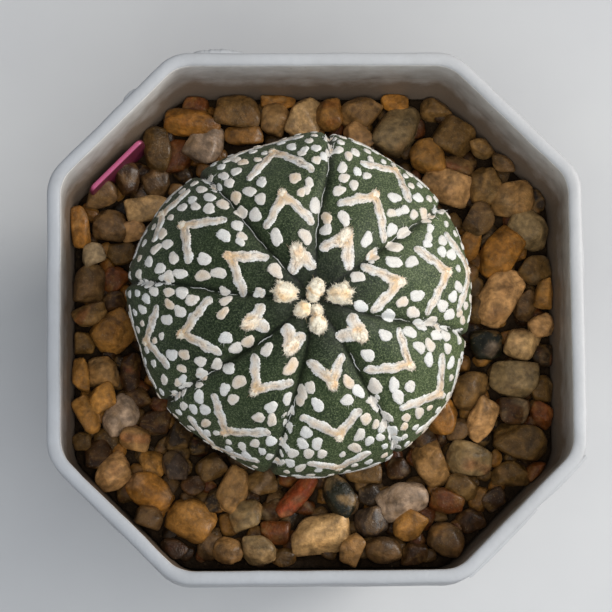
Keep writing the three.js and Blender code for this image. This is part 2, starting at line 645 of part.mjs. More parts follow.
function makeBody() {
  const ribBands = RIBS.map((_, rib) => bandsOf(rib));
  const grooveAlongs = Array.from({ length: BAND_COUNT }, (_, number) => {
    const ends = ribBands.flatMap((bands) => [-1, 1].map((side) => bandAlong(bands[number], side)));
    return ends.reduce((sum, along) => sum + along, 0) / ends.length;
  });
  const columns = ribBands.flatMap((bands, rib) =>
    BODY_SIDES.map((side) => {
      const skin = columnRows(bands, side, grooveAlongs).map(({ along, lift }) =>
        skinPoint(ribBearing(rib, side, along), along, lift),
      );
      const turn = radians(ribBearing(rib, side, LAST_ROW));
      const base = new THREE.Vector3(Math.cos(turn), Math.sin(turn), 0).multiplyScalar(BASE_RADIUS);
      return [...skin, base.setZ(BASE_HEIGHT).applyMatrix4(leaning)];
    }),
  );
  const rings = columns[0].map((_, row) => columns.map((column) => column[row])).reverse();
  const bottom = new THREE.Vector3(0, 0, BASE_HEIGHT).applyMatrix4(leaning);
  return solidOf(loft(rings, bottom, skinPoint(0, 0, 0)));
}

// The tap root's outline from its tip up, as radius and height over the widest circle.
function rootOutline(grown) {
  const top = BODY_BASE.z + 2;
  const tip = BODY_BASE.z - ROOT_LENGTH;
  return [
    new THREE.Vector2(0, tip - grown),
    new THREE.Vector2(0.25 * ROOT_RADIUS + grown, tip - grown),
    new THREE.Vector2(0.7 * ROOT_RADIUS + grown, tip + 0.35 * ROOT_LENGTH),
    new THREE.Vector2(ROOT_RADIUS + grown, tip + 0.8 * ROOT_LENGTH),
    new THREE.Vector2(ROOT_RADIUS + grown, top),
    new THREE.Vector2(0, top),
  ];
}

function lathe(outline, sides) {
  return solidOf(new THREE.LatheGeometry(outline, sides).rotateX(Math.PI / 2).applyMatrix4(leaning));
}

const SPACE_ROWS = 14;

// The hollow that the plant stands in: its plain outline, grown by the clearance.
function makePlantSpace(grown) {
  const outline = [
    new THREE.Vector2(0, BASE_HEIGHT - grown),
    new THREE.Vector2(BASE_RADIUS + grown, BASE_HEIGHT - grown),
  ];
  for (let row = SPACE_ROWS; row > 0; row--) {
    const { r, z, outR, outZ } = profileAt((LAST_ROW * row) / SPACE_ROWS);
    outline.push(new THREE.Vector2(r + outR * grown, z + outZ * grown));
  }
  outline.push(new THREE.Vector2(0, profileAt(0).z + grown));
  return joined([lathe(outline, 32), lathe(rootOutline(grown), 12)]);
}

// Felt and wool on the skin

// A place on the skin moved by across and down millimetres from a bearing and distance.
function moved([bearing, along], across, down) {
  const { r } = profileAt(along);
  return [bearing + THREE.MathUtils.radToDeg(across / r), along + down];
}

const MOUND_SIDES = 5;
const TUFT_SIDES = 8;
const CROWN_LIMIT = 0.2; // rings stay this far from the crown's centre

// A closed ring round a place on the skin, with half widths across and down the rib.
function ringRound(place, sides, across, down, lift) {
  return Array.from({ length: sides }, (_, i) => {
    const turn = (-2 * Math.PI * i) / sides;
    const [bearing, along] = moved(place, across * Math.cos(turn), down * Math.sin(turn));
    return skinPoint(bearing, Math.max(CROWN_LIMIT, along), lift);
  });
}

// A low mound rooted in the skin, with its half widths where it meets the skin.
function makeMound(place, across, down, height) {
  const flare = (height + ROOTING) / height;
  const ring = ringRound(place, MOUND_SIDES, across * flare, down * flare, -ROOTING);
  return solidOf(loft([ring], skinPoint(...place, -2 * ROOTING), skinPoint(...place, height)));
}

// A rounder mound for a young woolly areole.
function makeTuft(place, radius, height) {
  const rings = [
    ringRound(place, TUFT_SIDES, radius, radius, -ROOTING),
    ringRound(place, TUFT_SIDES, 0.85 * radius, 0.85 * radius, 0.45 * height),
  ];
  return solidOf(loft(rings, skinPoint(...place, -2 * ROOTING), skinPoint(...place, height)));
}

// Distance on the skin between two places, near enough for spacing.
function apart(a, b) {
  const r = profileAt((a[1] + b[1]) / 2).r;
  return Math.hypot(radians(a[0] - b[0]) * r, a[1] - b[1]);
}

// Places of the dots below the ones that are listed.
function lowerDots(rib, draw) {
  const placed = [];
  const arms = chevronsOf(RIBS[rib]).flatMap(([areole, left, right]) =>
    [0, 0.25, 0.5, 0.75, 1].flatMap((t) =>
      [left, right].map((end) => [
        end[0] + (areole[0] - end[0]) * t,
        end[1] + (areole[1] - end[1]) * t,
      ]),
    ),
  );
  for (let i = 0; i < LOWER_DOT_TRIES && placed.length < LOWER_DOTS_PER_RIB; i++) {
    const along = LOWER_DOTS_FROM + (LOWER_END - LOWER_DOTS_FROM) * draw();
    const place = [ribBearing(rib, 1.8 * draw() - 0.9, along), along];
    const clear = (other) => apart(place, other) > LOWER_DOT_GAP;
    if (placed.every(clear) && arms.every(clear)) placed.push(place);
  }
  return placed;
}

function makeCactus() {
  const draw = seededDraw(11);
  const felt = [];
  RIBS.forEach((rib, number) => {
    chevronsOf(rib).forEach(([areole]) => {
      const growth = areole[1] < YOUNG_AREOLE ? YOUNG_GROWTH : 1;
      felt.push(makeMound(areole, growth * TUFT_WIDTH, growth * TUFT_LENGTH, growth * TUFT_HEIGHT));
    });
    if (rib.ball) felt.push(makeTuft(rib.ball, BALL_RADIUS, BALL_HEIGHT));
    const listed = rib.dots.map(([across, along]) => moved([rib.dotsFrom, along], across, 0));
    const separate = listed.filter((place, i) =>
      listed.slice(0, i).every((other) => apart(place, other) > DOT_MERGE),
    );
    [...separate, ...lowerDots(number, draw)].forEach((place) => {
      const half = 0.5 + DOT_VARIATION * (draw() - 0.5);
      felt.push(makeMound(place, DOT_WIDTH * half, DOT_LENGTH * half, DOT_FELT));
    });
  });
  return mainBody(joined([makeBody(), lathe(rootOutline(0), 12), ...felt]));
}

function makeCrownWool() {
  const lobes = CROWN_LOBES.map(({ bearing, along, radius, height }) => {
    const lobe = new THREE.IcosahedronGeometry(1, 1).scale(radius, radius, height);
    const seat = skinPoint(bearing, along, 0);
    return solidOf(lobe.translate(seat.x, seat.y, seat.z));
  });
  return mainBody(joined(lobes).subtract(makePlantSpace(CLEARANCE)));
}

// Gravel

const PEBBLE_THICKNESS = 0.8; // share of a pebble's width
const PEBBLE_HALF = 0.54; // over a half, since the faces lie inside the corners
const PEBBLE_UNEVENNESS = 0.16;
const PEBBLE_TILT = 16; // degrees, from one extreme to the other

// A low-sided pebble whose highest part is at height top.
function makePebble([x, y, length, width, turn], top, draw) {
  const thickness = PEBBLE_THICKNESS * width;
  const bare = new THREE.IcosahedronGeometry(1, 0).deleteAttribute("normal").deleteAttribute("uv");
  const stone = mergeVertices(bare, 1e-4);
  const corners = stone.getAttribute("position");
  for (let i = 0; i < corners.count; i++) {
    const swell = 1 + PEBBLE_UNEVENNESS * (draw() - 0.5);
    corners.setXYZ(i, corners.getX(i) * swell, corners.getY(i) * swell, corners.getZ(i) * swell);
  }
  stone.scale(PEBBLE_HALF * length, PEBBLE_HALF * width, PEBBLE_HALF * thickness);
  stone.rotateX(radians(PEBBLE_TILT * (draw() - 0.5)));
  stone.rotateZ(radians(turn));
  stone.translate(x, y, top - thickness / 2);
  return solidOf(stone);
}

function makeGravel(plantSpace, labelSpace) {
  const draw = seededDraw(23);
  const stones = [
    ...UPPER_PEBBLES.map((pebble) => makePebble(pebble, PEBBLE_TOP, draw)),
    ...DEEP_PEBBLES.map((pebble) => makePebble(pebble, DEEP_PEBBLE_TOP, draw)),
  ];
  const bed = fill(SOIL_TOP + CLEARANCE, BED_TOP);
  const room = fill(SOIL_TOP + CLEARANCE, PEBBLE_TOP + 2);
  const whole = joined([bed, ...stones]).intersect(room);
  return mainBody(whole.subtract(plantSpace).subtract(labelSpace));
}

// Plant label

// The label, or with grown above zero the slot that it stands in.
function makeLabel(grown) {
  const half = LABEL_WIDTH / 2 + grown;
  const halfTip = LABEL_TIP_WIDTH / 2;
  const outline = new THREE.Shape([
    new THREE.Vector2(-half, -LABEL_LENGTH + LABEL_POINT),
    new THREE.Vector2(-halfTip, -LABEL_LENGTH - grown),
    new THREE.Vector2(halfTip, -LABEL_LENGTH - grown),
    new THREE.Vector2(half, -LABEL_LENGTH + LABEL_POINT),
    new THREE.Vector2(half, -LABEL_CORNER),
    new THREE.Vector2(half - LABEL_CORNER, grown),
    new THREE.Vector2(-half + LABEL_CORNER, grown),
    new THREE.Vector2(-half, -LABEL_CORNER),
  ]);
  const thickness = LABEL_THICKNESS + 2 * grown;
  const plate = new THREE.ExtrudeGeometry(outline, { depth: thickness, bevelEnabled: false });
  plate.translate(0, 0, -thickness / 2);
  plate.rotateX(Math.PI / 2 - radians(LABEL_SLOPE));
  plate.rotateZ(radians(LABEL_BEARING - 90));
  plate.translate(LABEL_TOP.x, LABEL_TOP.y, LABEL_TOP.z);
  return solidOf(plate);
}

// The whole object

const plantSpace = makePlantSpace(CLEARANCE + 0.1);
const labelSpace = makeLabel(CLEARANCE);
const soil = fill(FLOOR + CLEARANCE, SOIL_TOP).subtract(plantSpace).subtract(labelSpace);

const pottedCactus = new THREE.Group();
pottedCactus.name = "potted_star_cactus";
pottedCactus.add(
  meshOf("pot", makePot(), { color: 0xd9d9dc, roughness: 0.45, metalness: 0 }),
  meshOf("soil", soil, { color: 0x3a2a1e, roughness: 0.95, metalness: 0 }),
  meshOf("gravel", makeGravel(plantSpace, labelSpace), {
    color: 0xa67c4a,
    roughness: 0.6,
    metalness: 0,
    flatShading: true,
  }),
  meshOf("cactus", makeCactus(), { color: 0x4d6b4a, roughness: 0.7, metalness: 0 }),
  meshOf("crown_wool", makeCrownWool(), { color: 0xf0dfba, roughness: 0.95, metalness: 0 }),
  meshOf("label", makeLabel(0), { color: 0xd56a96, roughness: 0.4, metalness: 0 }),
);

export default pottedCactus;
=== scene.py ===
"""A potted star cactus: the ribbed plant with its white felt, its gravel, pot and label."""

import math
from dataclasses import dataclass, replace
from types import SimpleNamespace

import bmesh
import bpy
import numpy as np
from mathutils import Matrix, Vector


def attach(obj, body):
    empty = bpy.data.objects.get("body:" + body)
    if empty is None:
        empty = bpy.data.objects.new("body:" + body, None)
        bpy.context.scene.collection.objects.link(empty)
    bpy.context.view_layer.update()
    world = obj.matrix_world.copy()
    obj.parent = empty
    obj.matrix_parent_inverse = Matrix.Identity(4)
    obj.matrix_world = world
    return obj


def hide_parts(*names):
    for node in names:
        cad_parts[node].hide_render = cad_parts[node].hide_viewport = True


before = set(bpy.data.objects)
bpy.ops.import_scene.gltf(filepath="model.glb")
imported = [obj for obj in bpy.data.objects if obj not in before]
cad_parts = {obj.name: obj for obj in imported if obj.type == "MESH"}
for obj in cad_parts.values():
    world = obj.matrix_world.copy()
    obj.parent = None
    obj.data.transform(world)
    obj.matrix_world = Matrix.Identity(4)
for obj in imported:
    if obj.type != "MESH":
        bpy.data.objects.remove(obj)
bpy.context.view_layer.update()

MM = 0.001  # lengths below are in millimetres and become metres in the meshes

# Pot
POT_HEIGHT = 80
RIM_STRAIGHT = 44
RIM_CORNER = 47.7
RIM_ROUNDING = 7
LIP_WIDTH = 2.2
COLLAR_HEIGHT = 9.5
COLLAR_STEP = 1.2
WALL = 1.3
TAPER = 10.8
FOOT_WIDTH = 4.5
FOOT_HEIGHT = 1.4
FLOOR = 3
DRAIN_RADIUS = 1.9
DRAIN_CIRCLE = 17
DRAIN_COUNT = 4
COLLAR_BASE = POT_HEIGHT - COLLAR_HEIGHT

# Gravel
GRAVEL_BASE = 60.3
BED_TOP = 62.2
PEBBLE_TOP = 66.2
DEEP_PEBBLE_TOP = 64.6

# Cactus
BODY_RADIUS = 28.9
BODY_RISE = 19
BODY_DROP = 17
BODY_FULLNESS = 2.25
BASE_ANGLE = 0.78 * math.pi
CROWN_DIMPLE = 1.2
CROWN_DIMPLE_RADIUS = 4
BODY_CENTRE = Vector((-2.9, 1.9, 78))
LEAN = 8
LEAN_BEARING = -43
RIB_DEPTH = 1.5
LIMB_RIB_SHARE = 0.25  # share of it that is left at the widest circle
RIB_CURVE = 1.7
GROOVE_DEPTH = 0.8
GROOVE_HALF_WIDTH = 0.6
ROOT_RADIUS = 8
ROOT_LENGTH = 26
ARM_BOW = 0.5
LAST_ALONG = 50.4  # where the skin ends under the plant

# Label
LABEL_WIDTH = 12.4
LABEL_THICKNESS = 0.9
LABEL_LENGTH = 48
LABEL_POINT = 7
LABEL_TOP = Vector((-33, 27.6, 68.2))
LABEL_BEARING = 135
LABEL_SLOPE = 7.5
LABEL_CORNER = 1.2
LABEL_TIP_WIDTH = 4

# Felt below the widest circle
LOWER_SPACING = 8.5
LOWER_END = 48
LOWER_ARM_SPREAD = 15
LOWER_ARM_RUN = 5.5

# Bearing of each groove in degrees, near the crown and at the widest circle.
GROOVES = [(-17, -10.5), (35, 35), (86, 80.5), (133, 128), (178, 173), (221, 216), (263.5, 260), (304, 303)]

# How far the widest circle lies inside its plain line, at each crest and at the groove before it.
# A program fitted these to the plant's outline in the photograph.
LIMB_SINK = [(0.1, 0.4), (0.6, -0.4), (2.2, -0.2), (1.2, 1.5), (2, 0.2), (1.9, 1.2), (0.5, 0.6), (-0.2, -0.7)]

# Each rib: crest, young woolly areole or None, chevrons as areole, left end and right end, the
# bearing its dots are measured across from, and the dots. Places are (bearing, distance from the
# crown), and dots (distance across, distance from the crown). The marks were read off the
# photograph, and the same program worked out where they lie on the fitted skin.
RIBS = [
    {
        "crest": 11.5,
        "ball": (8, 4.2),
        "chevrons": [
            ((10.7, 14.3), (-13.6, 9.9), (33.8, 9.5)),
            ((11.8, 24.8), (-7.2, 20.1), (26.8, 19.8)),
        ],
        "dots_from": 5,
        "dots": [
            (-2, 7.8), (2.8, 7.9), (-3.9, 13.3), (-1.8, 15.1), (4.9, 14.9), (-3.6, 17.5),
            (-0.9, 17.8), (4.7, 18), (7.8, 16.9), (-5.8, 19.9), (-5.3, 22), (-2.7, 23.5),
            (7.7, 22.6), (8.8, 23.6), (-4.2, 25.6), (-1.3, 26), (0.3, 27.8), (6.2, 25), (-4, 28.7),
            (-5.2, 30.2), (8.1, 26.4), (10.4, 25), (5.7, 27.5),
        ],
    },
    {
        "crest": 58,
        "ball": None,
        "chevrons": [
            ((61.7, 11.1), (37.4, 7.2), (83.1, 8.1)),
            ((57.8, 20.7), (37.6, 15.5), (74.6, 16.4)),
            ((55.1, 30.5), (43.7, 24.8), (68.8, 26.4)),
        ],
        "dots_from": 57,
        "dots": [
            (-4.7, 12.5), (-2.3, 13.2), (2.7, 14.2), (4.3, 11.5), (5.2, 13.6), (-5.1, 18.2),
            (5.8, 19), (4.1, 20.9), (6.1, 21.7), (-3.5, 20.2), (-4.6, 21.6), (-5.2, 22.8),
            (-2.7, 23.3), (3, 24.1), (4.7, 24.1), (7.2, 23.8), (-7, 23.7), (7.2, 27.1), (6.5, 28.9),
            (9.2, 28), (-6.2, 27.4), (-8.5, 26.2), (-7.3, 20.2),
        ],
    },
    {
        "crest": 104.5,
        "ball": None,
        "chevrons": [
            ((109.3, 7.5), (85.8, 4.7), (133.9, 5.2)),
            ((105.1, 17.7), (88.7, 12.2), (124.3, 13.8)),
            ((101.4, 30), (87.8, 22.1), (116.6, 24)),
        ],
        "dots_from": 105,
        "dots": [
            (-1.3, 9.9), (3.2, 11.5), (-4.7, 15.6), (-3, 17.9), (-4, 18.3), (-4.9, 19.8),
            (-2.9, 21.1), (3.7, 19), (5.4, 17), (2.5, 22.3), (5, 21.6), (7.5, 22.3), (7.6, 19.4),
            (-7.5, 24.7), (-5.7, 27), (-6.4, 27.8), (-9, 25.7), (-8.3, 27.8), (-4.8, 30),
            (5.8, 27.9), (7.7, 25.9), (8.1, 28.4), (4, 29.9), (4.8, 32), (1.4, 33.4), (7.7, 31.7),
        ],
    },
    {
        "crest": 150,
        "ball": (170, 4.6),
        "chevrons": [
            ((153.5, 14.7), (137.4, 9.7), (179.3, 11.3)),
            ((149.1, 25.7), (136.5, 19.5), (163.9, 21.5)),
            ((147.9, 33.4), (135.4, 31.7), (158.7, 31)),
        ],
        "dots_from": 153,
        "dots": [
            (-1, 7.5), (3.4, 8.8), (-3.8, 15.5), (-2.8, 15), (-5.3, 17.5), (-2.6, 17.9), (3.3, 16),
            (2.2, 19.1), (4.8, 18.7), (-7.9, 22.7), (-6.1, 23.9), (6, 22.8), (4, 24.8), (7.2, 25),
            (-8.2, 26), (-5.6, 26.7), (-6.6, 28.6), (-9.2, 29.3), (-4.7, 29.2), (2.2, 27.4),
            (6.4, 26.9), (0.8, 29.8), (3.6, 29.5), (6, 30.1), (9.6, 29.3),
        ],
    },
    {
        "crest": 195.5,
        "ball": None,
        "chevrons": [
            ((201.5, 10.9), (187, 8.3), (217.1, 9.2)),
            ((195.2, 22.7), (179.3, 16.8), (211.9, 17.7)),
            ((194, 33.2), (181.9, 27), (206.1, 28.7)),
        ],
        "dots_from": 194,
        "dots": [
            (-3, 14.3), (-1.1, 14.9), (-4.7, 14.8), (4.5, 12.9), (2.9, 15.7), (5, 15.2),
            (-4.5, 20.2), (-6.2, 22.1), (-3.2, 22.6), (7, 19.8), (5.7, 21.8), (3.9, 24.3),
            (7.9, 23.3), (3.4, 27), (6.1, 26.1), (-6.8, 24.5), (-4.8, 24.5), (-2.5, 25.7),
            (7.9, 27.1), (8.3, 28.5), (-7.6, 27.7), (-6.8, 29.7), (-5.3, 31.3), (-9.1, 29.5),
            (7.2, 31.6), (-2.9, 8.7),
        ],
    },
    {
        "crest": 239.5,
        "ball": None,
        "chevrons": [
            ((244.6, 8.6), (222.7, 6.3), (257.9, 6.2)),
            ((238.4, 17.5), (223.4, 13.3), (257.9, 14.3)),
            ((238.5, 29.2), (224.6, 23.5), (254.1, 24.2)),
        ],
        "dots_from": 240,
        "dots": [
            (-2.3, 11.3), (2.5, 11.7), (-6.1, 18.4), (-3.4, 18.5), (-4.8, 21.4), (-2.7, 21.8),
            (3.3, 19.5), (4.9, 17.3), (2.5, 22.3), (4.6, 21.8), (-7.8, 26.5), (-5.7, 27.7),
            (6.5, 26), (4.5, 28), (-7.4, 29.7), (-4.3, 30.5), (3.1, 30.5), (6.3, 29.1),
            (-3.1, 33.2), (1.6, 33.9), (7.9, 29.9), (-9.1, 31.2), (4.5, 32.4),
        ],
    },
    {
        "crest": 282,
        "ball": None,
        "chevrons": [
            ((283.1, 13.9), (264.9, 10.3), (298.7, 10.3)),
            ((282.9, 23.7), (265, 20), (295, 20.2)),
            ((282.6, 32.7), (270.7, 30.3), (293.8, 29.8)),
        ],
        "dots_from": 282,
        "dots": [
            (-3.3, 14.7), (-4.7, 15.8), (-5.3, 17.3), (-2.6, 17.6), (3, 15), (2.3, 17.8),
            (4.5, 17.3), (-5, 22.9), (5, 22.4), (-5.8, 25.3), (-3.4, 25.2), (3.7, 25), (6.6, 24.2),
            (-4.9, 27.5), (-2.7, 27.7), (-7.5, 27.8), (2.8, 27.6), (5.2, 26.9), (7.6, 25.6),
            (7.1, 27.1), (6.9, 20.6), (-8, 30.6), (-6.3, 31.9),
        ],
    },
    {
        "crest": 326,
        "ball": None,
        "chevrons": [
            ((322.7, 9.5), (299, 7.4), (336.9, 6.4)),
            ((326.6, 19.5), (306.2, 14.8), (342.2, 15.3)),
            ((326, 29.2), (310.3, 24.1), (339.3, 25.6)),
        ],
        "dots_from": 322,
        "dots": [
            (-1.7, 13), (2.6, 13.3), (-4.7, 18.3), (-2.5, 20), (-3.4, 22.3), (-0.9, 22.5),
            (6, 17.7), (5, 20.2), (6.6, 22.2), (4.5, 22.9), (8.9, 23.4), (-4.9, 26.7), (-2.8, 28.2),
            (-6.1, 28.1), (8.5, 26.8), (7.1, 28.9), (10.1, 25.7), (-8.7, 25.4), (-8, 27.7),
            (-7, 21.2),
        ],
    },
]

UPPER_PEBBLES = [
    (-35.5, 23.8, 6, 5.5, 90), (-31, 26, 6, 4.3, 95), (-26, 31, 8.5, 4.8, 105),
    (-27.5, 20.8, 8, 4.5, 10), (-34, 18, 6, 5.4, -10), (-39, 17.5, 7.5, 3.2, 95),
    (-30, 17, 4.5, 3.6, 10), (-37, 13, 4.2, 3.8, 20), (-20, 35.6, 10, 4.8, -8),
    (-17.5, 32, 7.4, 6.2, 60), (-12.3, 37.8, 8, 5.8, -10), (-11.5, 33.3, 7, 3.6, -5),
    (-1, 36.5, 8, 6, 65), (3.2, 36.7, 5.8, 5, 100), (8.3, 38.2, 8, 6.6, 60),
    (8, 33, 5.6, 4.4, -50), (15, 34.5, 9.8, 7.3, 60), (19.8, 29.8, 6.4, 6, 0),
    (25, 34, 8.2, 7.4, 60), (29.3, 31.3, 4.8, 4.4, 30), (32.8, 28.6, 4.4, 3.8, 0),
    (23, 24.5, 9, 6.6, -25), (29.5, 24.6, 7, 6, 80), (34.3, 22.2, 8.2, 6.2, 10),
    (28.5, 18.6, 6, 4.8, 60), (37, 17, 8, 7, -20), (31.8, 13, 9.5, 6.4, 60),
    (37.6, 9.8, 6.3, 5, 0), (31.5, 5.5, 10.8, 6.6, 60), (39.4, 5.8, 5.6, 4, 80),
    (38.6, 0.5, 5, 4.1, 10), (35, -2.5, 6, 5.6, -20), (29, -2.7, 5.6, 5.2, 0),
    (33.5, -8.7, 8.6, 6.6, -5), (26, -10.5, 7.2, 5.8, 75), (21.5, -14.8, 6.5, 5, 70),
    (28, -15.5, 7.6, 4.6, 60), (33.6, -14, 5.2, 4.6, 0), (34.7, -19.3, 9.6, 6.3, -10),
    (25.7, -21.8, 8.2, 6.2, -5), (19.3, -22.6, 8.6, 5.6, 110), (14.8, -28.8, 9, 6, 25),
    (24.7, -26.7, 5.6, 4.2, -25), (22, -29.1, 5.8, 4.3, -15), (22, -35.4, 6.8, 5.8, -20),
    (15.5, -33.2, 5.6, 5.2, 60), (9.3, -32.6, 5.9, 5.5, 0), (4, -28, 8.2, 5, 120),
    (-3, -28.2, 9.4, 3.6, 45), (0.8, -34.5, 10.4, 6.8, 10), (6, -36.8, 5.8, 4, 65),
    (11.3, -37.2, 6.2, 4.7, 5), (-11.3, -31, 6.2, 4.8, 20), (-13.5, -27, 7.8, 5.2, 60),
    (-17.2, -23.2, 5.2, 4.6, 30), (-20.5, -31.6, 8.4, 7.4, -30), (-27.7, -27, 8.8, 6.2, -35),
    (-33.5, -24, 7, 5.6, 40), (-23.3, -22.8, 5, 4.6, 90), (-27.5, -31.2, 4.8, 4, -20),
    (-32.2, -14.6, 7.6, 5.6, 60), (-29.8, -18.2, 5.4, 4.4, -10), (-37.8, -14.2, 6.8, 4, 115),
    (-14.5, -37.2, 5.2, 4.6, -20), (-9.3, -37.2, 6, 5, 0), (-37.5, 8.2, 7, 5.4, 80),
    (-33.3, -0.3, 7.6, 7.2, 30), (-37.5, 2.6, 6.2, 3.8, 20), (-35.2, -6.8, 5.6, 5.2, 0),
    (-39, -7.5, 5.8, 3.1, 90), (-35.2, -11.6, 5, 4.4, 20), (-6.2, 36.3, 5.8, 5, 70),
]

DEEP_PEBBLES = [
    (-26.5, 25.6, 6, 5, 90), (-32.2, 13.3, 5, 4, 0), (-19.5, 38.6, 4.6, 3.6, 0),
    (-22.5, 30, 6, 5, 90), (-5.5, 39.4, 6, 3, 0), (14.3, 39, 4.8, 3.2, 0),
    (21.5, 38.2, 6.2, 4.6, 10), (24.6, 28.2, 6, 4, 0), (38.4, 22.5, 4.6, 3.8, 90),
    (26.4, 14.2, 5.2, 4.2, 80), (26.3, 9, 4.6, 3.6, 90), (36, 4, 5.8, 4, 60),
    (38.6, -10, 5, 4.2, 80), (39, -4.4, 4.2, 4, 0), (27.8, 3.2, 5, 3.6, 80),
    (38.4, -14.5, 4.8, 4.2, -30), (24, -17, 4.4, 4, 0), (33, -24.4, 7, 4.2, 0),
    (26, -32.2, 4.8, 4.2, 20), (16.5, -37.6, 4.6, 4.2, 0), (8, -24, 6.6, 4, 0),
    (14, -23.4, 4.4, 4, 0), (9.5, -27.6, 4.4, 4.2, 0), (37.2, -24, 4.2, 3.4, 40),
    (30, -28.6, 4.4, 3.6, 40), (-27.2, -22.4, 5.2, 4.4, 90), (-36, -20.5, 5.6, 5, 90),
    (-39, -18.5, 3.6, 3.2, 0), (-26.5, -15.5, 5.6, 4.4, 0), (-6.5, -34, 5.4, 4.2, 0),
    (-17.5, -36, 5.4, 4.4, 90), (-23.6, -36.4, 4.6, 3.2, -40), (-5, -38, 3.8, 3.4, 0),
    (-16.5, -28.6, 4.4, 3.6, 90), (-20.3, -26.2, 4.2, 3.6, 0), (-33.4, 8.8, 5, 3.8, 50),
    (-38.2, -2, 4, 3.8, 0), (-30.7, -7, 7, 3.6, 85), (-33.6, 5, 4.6, 3.6, 0),
    (-9, -25.6, 5.4, 4.4, 15), (-4, -24.2, 4.8, 4, 70), (1, -24.8, 5.2, 4.2, -20),
    (-7, -30.2, 5, 4, 40), (-22.6, -18.2, 5.2, 4.2, 60), (-29.8, -11.2, 4.8, 3.8, 20),
    (18.6, -18.6, 5, 4, -30), (-29, 0.4, 5, 4, 80),
]

# Colours of damp stones by name, as sRGB values from 0 to 255.
STONE_COLOURS = {
    "tan": (126, 91, 51),
    "ochre": (136, 92, 40),
    "orange": (136, 88, 33),
    "rust": (90, 47, 17),
    "brown": (81, 57, 26),
    "dark_brown": (54, 33, 14),
    "grey_brown": (88, 63, 36),
    "grey": (116, 93, 60),
    "pale_grey": (136, 113, 82),
    "cream": (174, 136, 88),
    "peach": (165, 121, 74),
    "pink": (138, 114, 92),
    "olive": (103, 74, 38),
    "dark": (39, 27, 14),
    "slate": (27, 27, 16),
    "brick": (118, 52, 23),
    "plum": (60, 46, 35),
}

UPPER_COLOURS = """
    grey_brown dark_brown brown cream grey_brown orange peach pale_grey orange pink
    olive ochre cream ochre tan peach grey ochre brown olive
    grey_brown peach olive tan grey_brown grey orange brown peach ochre
    peach cream slate grey olive orange peach dark_brown brown grey
    tan pink brown rust grey_brown ochre plum slate brick cream
    tan grey_brown grey tan brown ochre orange peach plum grey_brown
    pink tan ochre tan grey grey_brown ochre olive tan ochre
    ochre tan
""".split()

DEEP_COLOURS = """
    grey_brown brown rust rust orange orange olive grey_brown dark orange
    olive grey_brown brown dark brown rust grey_brown brown dark_brown dark_brown
    olive dark_brown dark rust dark_brown ochre dark_brown brown dark_brown rust
    grey_brown dark_brown brown dark dark_brown rust brown dark_brown dark_brown
    brown rust dark_brown dark_brown dark dark_brown dark_brown brown
""".split()


# Plain helpers


def smooth_step(low, high, value):
    """0 below low, 1 above high, and a soft rise between them."""
    t = np.clip((value - low) / (high - low), 0, 1)
    return t * t * (3 - 2 * t)


def linear(colour):
    """An sRGB colour from 0 to 255 as linear values."""
    share = np.asarray(colour, float) / 255
    return np.where(share <= 0.04045, share / 12.92, ((share + 0.055) / 1.055) ** 2.4)


def waves(points, size, seed, count=10):
    """Smooth unevenness from about -1 to 1 at points, with bumps about size across."""
    draw = np.random.default_rng(seed)
    ways = draw.normal(size=(count, 3))
    ways *= 2 * math.pi / size / np.linalg.norm(ways, axis=1, keepdims=True)
    starts = draw.uniform(0, 2 * math.pi, count)
    return np.sin(points @ ways.T + starts).sum(axis=1) * math.sqrt(2 / count) / 2


def make_mesh(name, points, face_groups, material, colours=None):
    """An object from points in millimetres and arrays of faces with equal numbers of corners."""
    loops = np.concatenate([np.asarray(faces).ravel() for faces in face_groups]).astype(np.int32)
    sizes = np.concatenate([np.full(len(faces), np.shape(faces)[1]) for faces in face_groups])
    starts = np.concatenate([[0], np.cumsum(sizes)[:-1]]).astype(np.int32)
    mesh = bpy.data.meshes.new(name)
    mesh.vertices.add(len(points))
    mesh.vertices.foreach_set("co", (np.asarray(points) * MM).astype(np.float32).ravel())
    mesh.loops.add(len(loops))
    mesh.loops.foreach_set("vertex_index", loops)
    mesh.polygons.add(len(sizes))
    mesh.polygons.foreach_set("loop_start", starts)
    mesh.polygons.foreach_set("use_smooth", np.ones(len(sizes), bool))
    mesh.update(calc_edges=True)
    mesh.validate()
    if colours is not None:
        layer = mesh.color_attributes.new(name="tint", type="FLOAT_COLOR", domain="POINT")
        rgba = np.concatenate([colours, np.ones((len(colours), 1))], axis=1)
        layer.data.foreach_set("color", rgba.astype(np.float32).ravel())
    mesh.materials.append(material)
    made = bpy.data.objects.new(name, mesh)
    bpy.context.scene.collection.objects.link(made)
    return made


def dress(piece, node):
    """Lets a piece stand for a CAD node: hangs it under the root and hides the node."""
    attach(piece, "root")
    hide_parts(node)


def ring_faces(rings, size, closed=True):
    """Quads between rings of equal size, numbered one ring after the other."""
    row, column = np.meshgrid(np.arange(rings - 1), np.arange(size if closed else size - 1), indexing="ij")
    a = row * size + column
    b = row * size + (column + 1) % size
    return np.stack([a, b, b + size, a + size], axis=-1).reshape(-1, 4)


def fan_faces(centre, first, size, flip=False):
    """Triangles from a centre point to a ring that starts at point number first."""
    near = first + np.arange(size)
    far = first + (np.arange(size) + 1) % size
    hub = np.full(size, centre)
    return np.stack([hub, far, near] if flip else [hub, near, far], axis=-1)


def shell_faces(rings, size, outward=True):
    """Faces of rings and of two middle points after them, which close the first ring and the last."""
    walls = ring_faces(rings, size)
    return [
        walls if outward else walls[:, ::-1],
        fan_faces(rings * size, 0, size, flip=outward),
        fan_faces(rings * size + 1, (rings - 1) * size, size, flip=not outward),
    ]


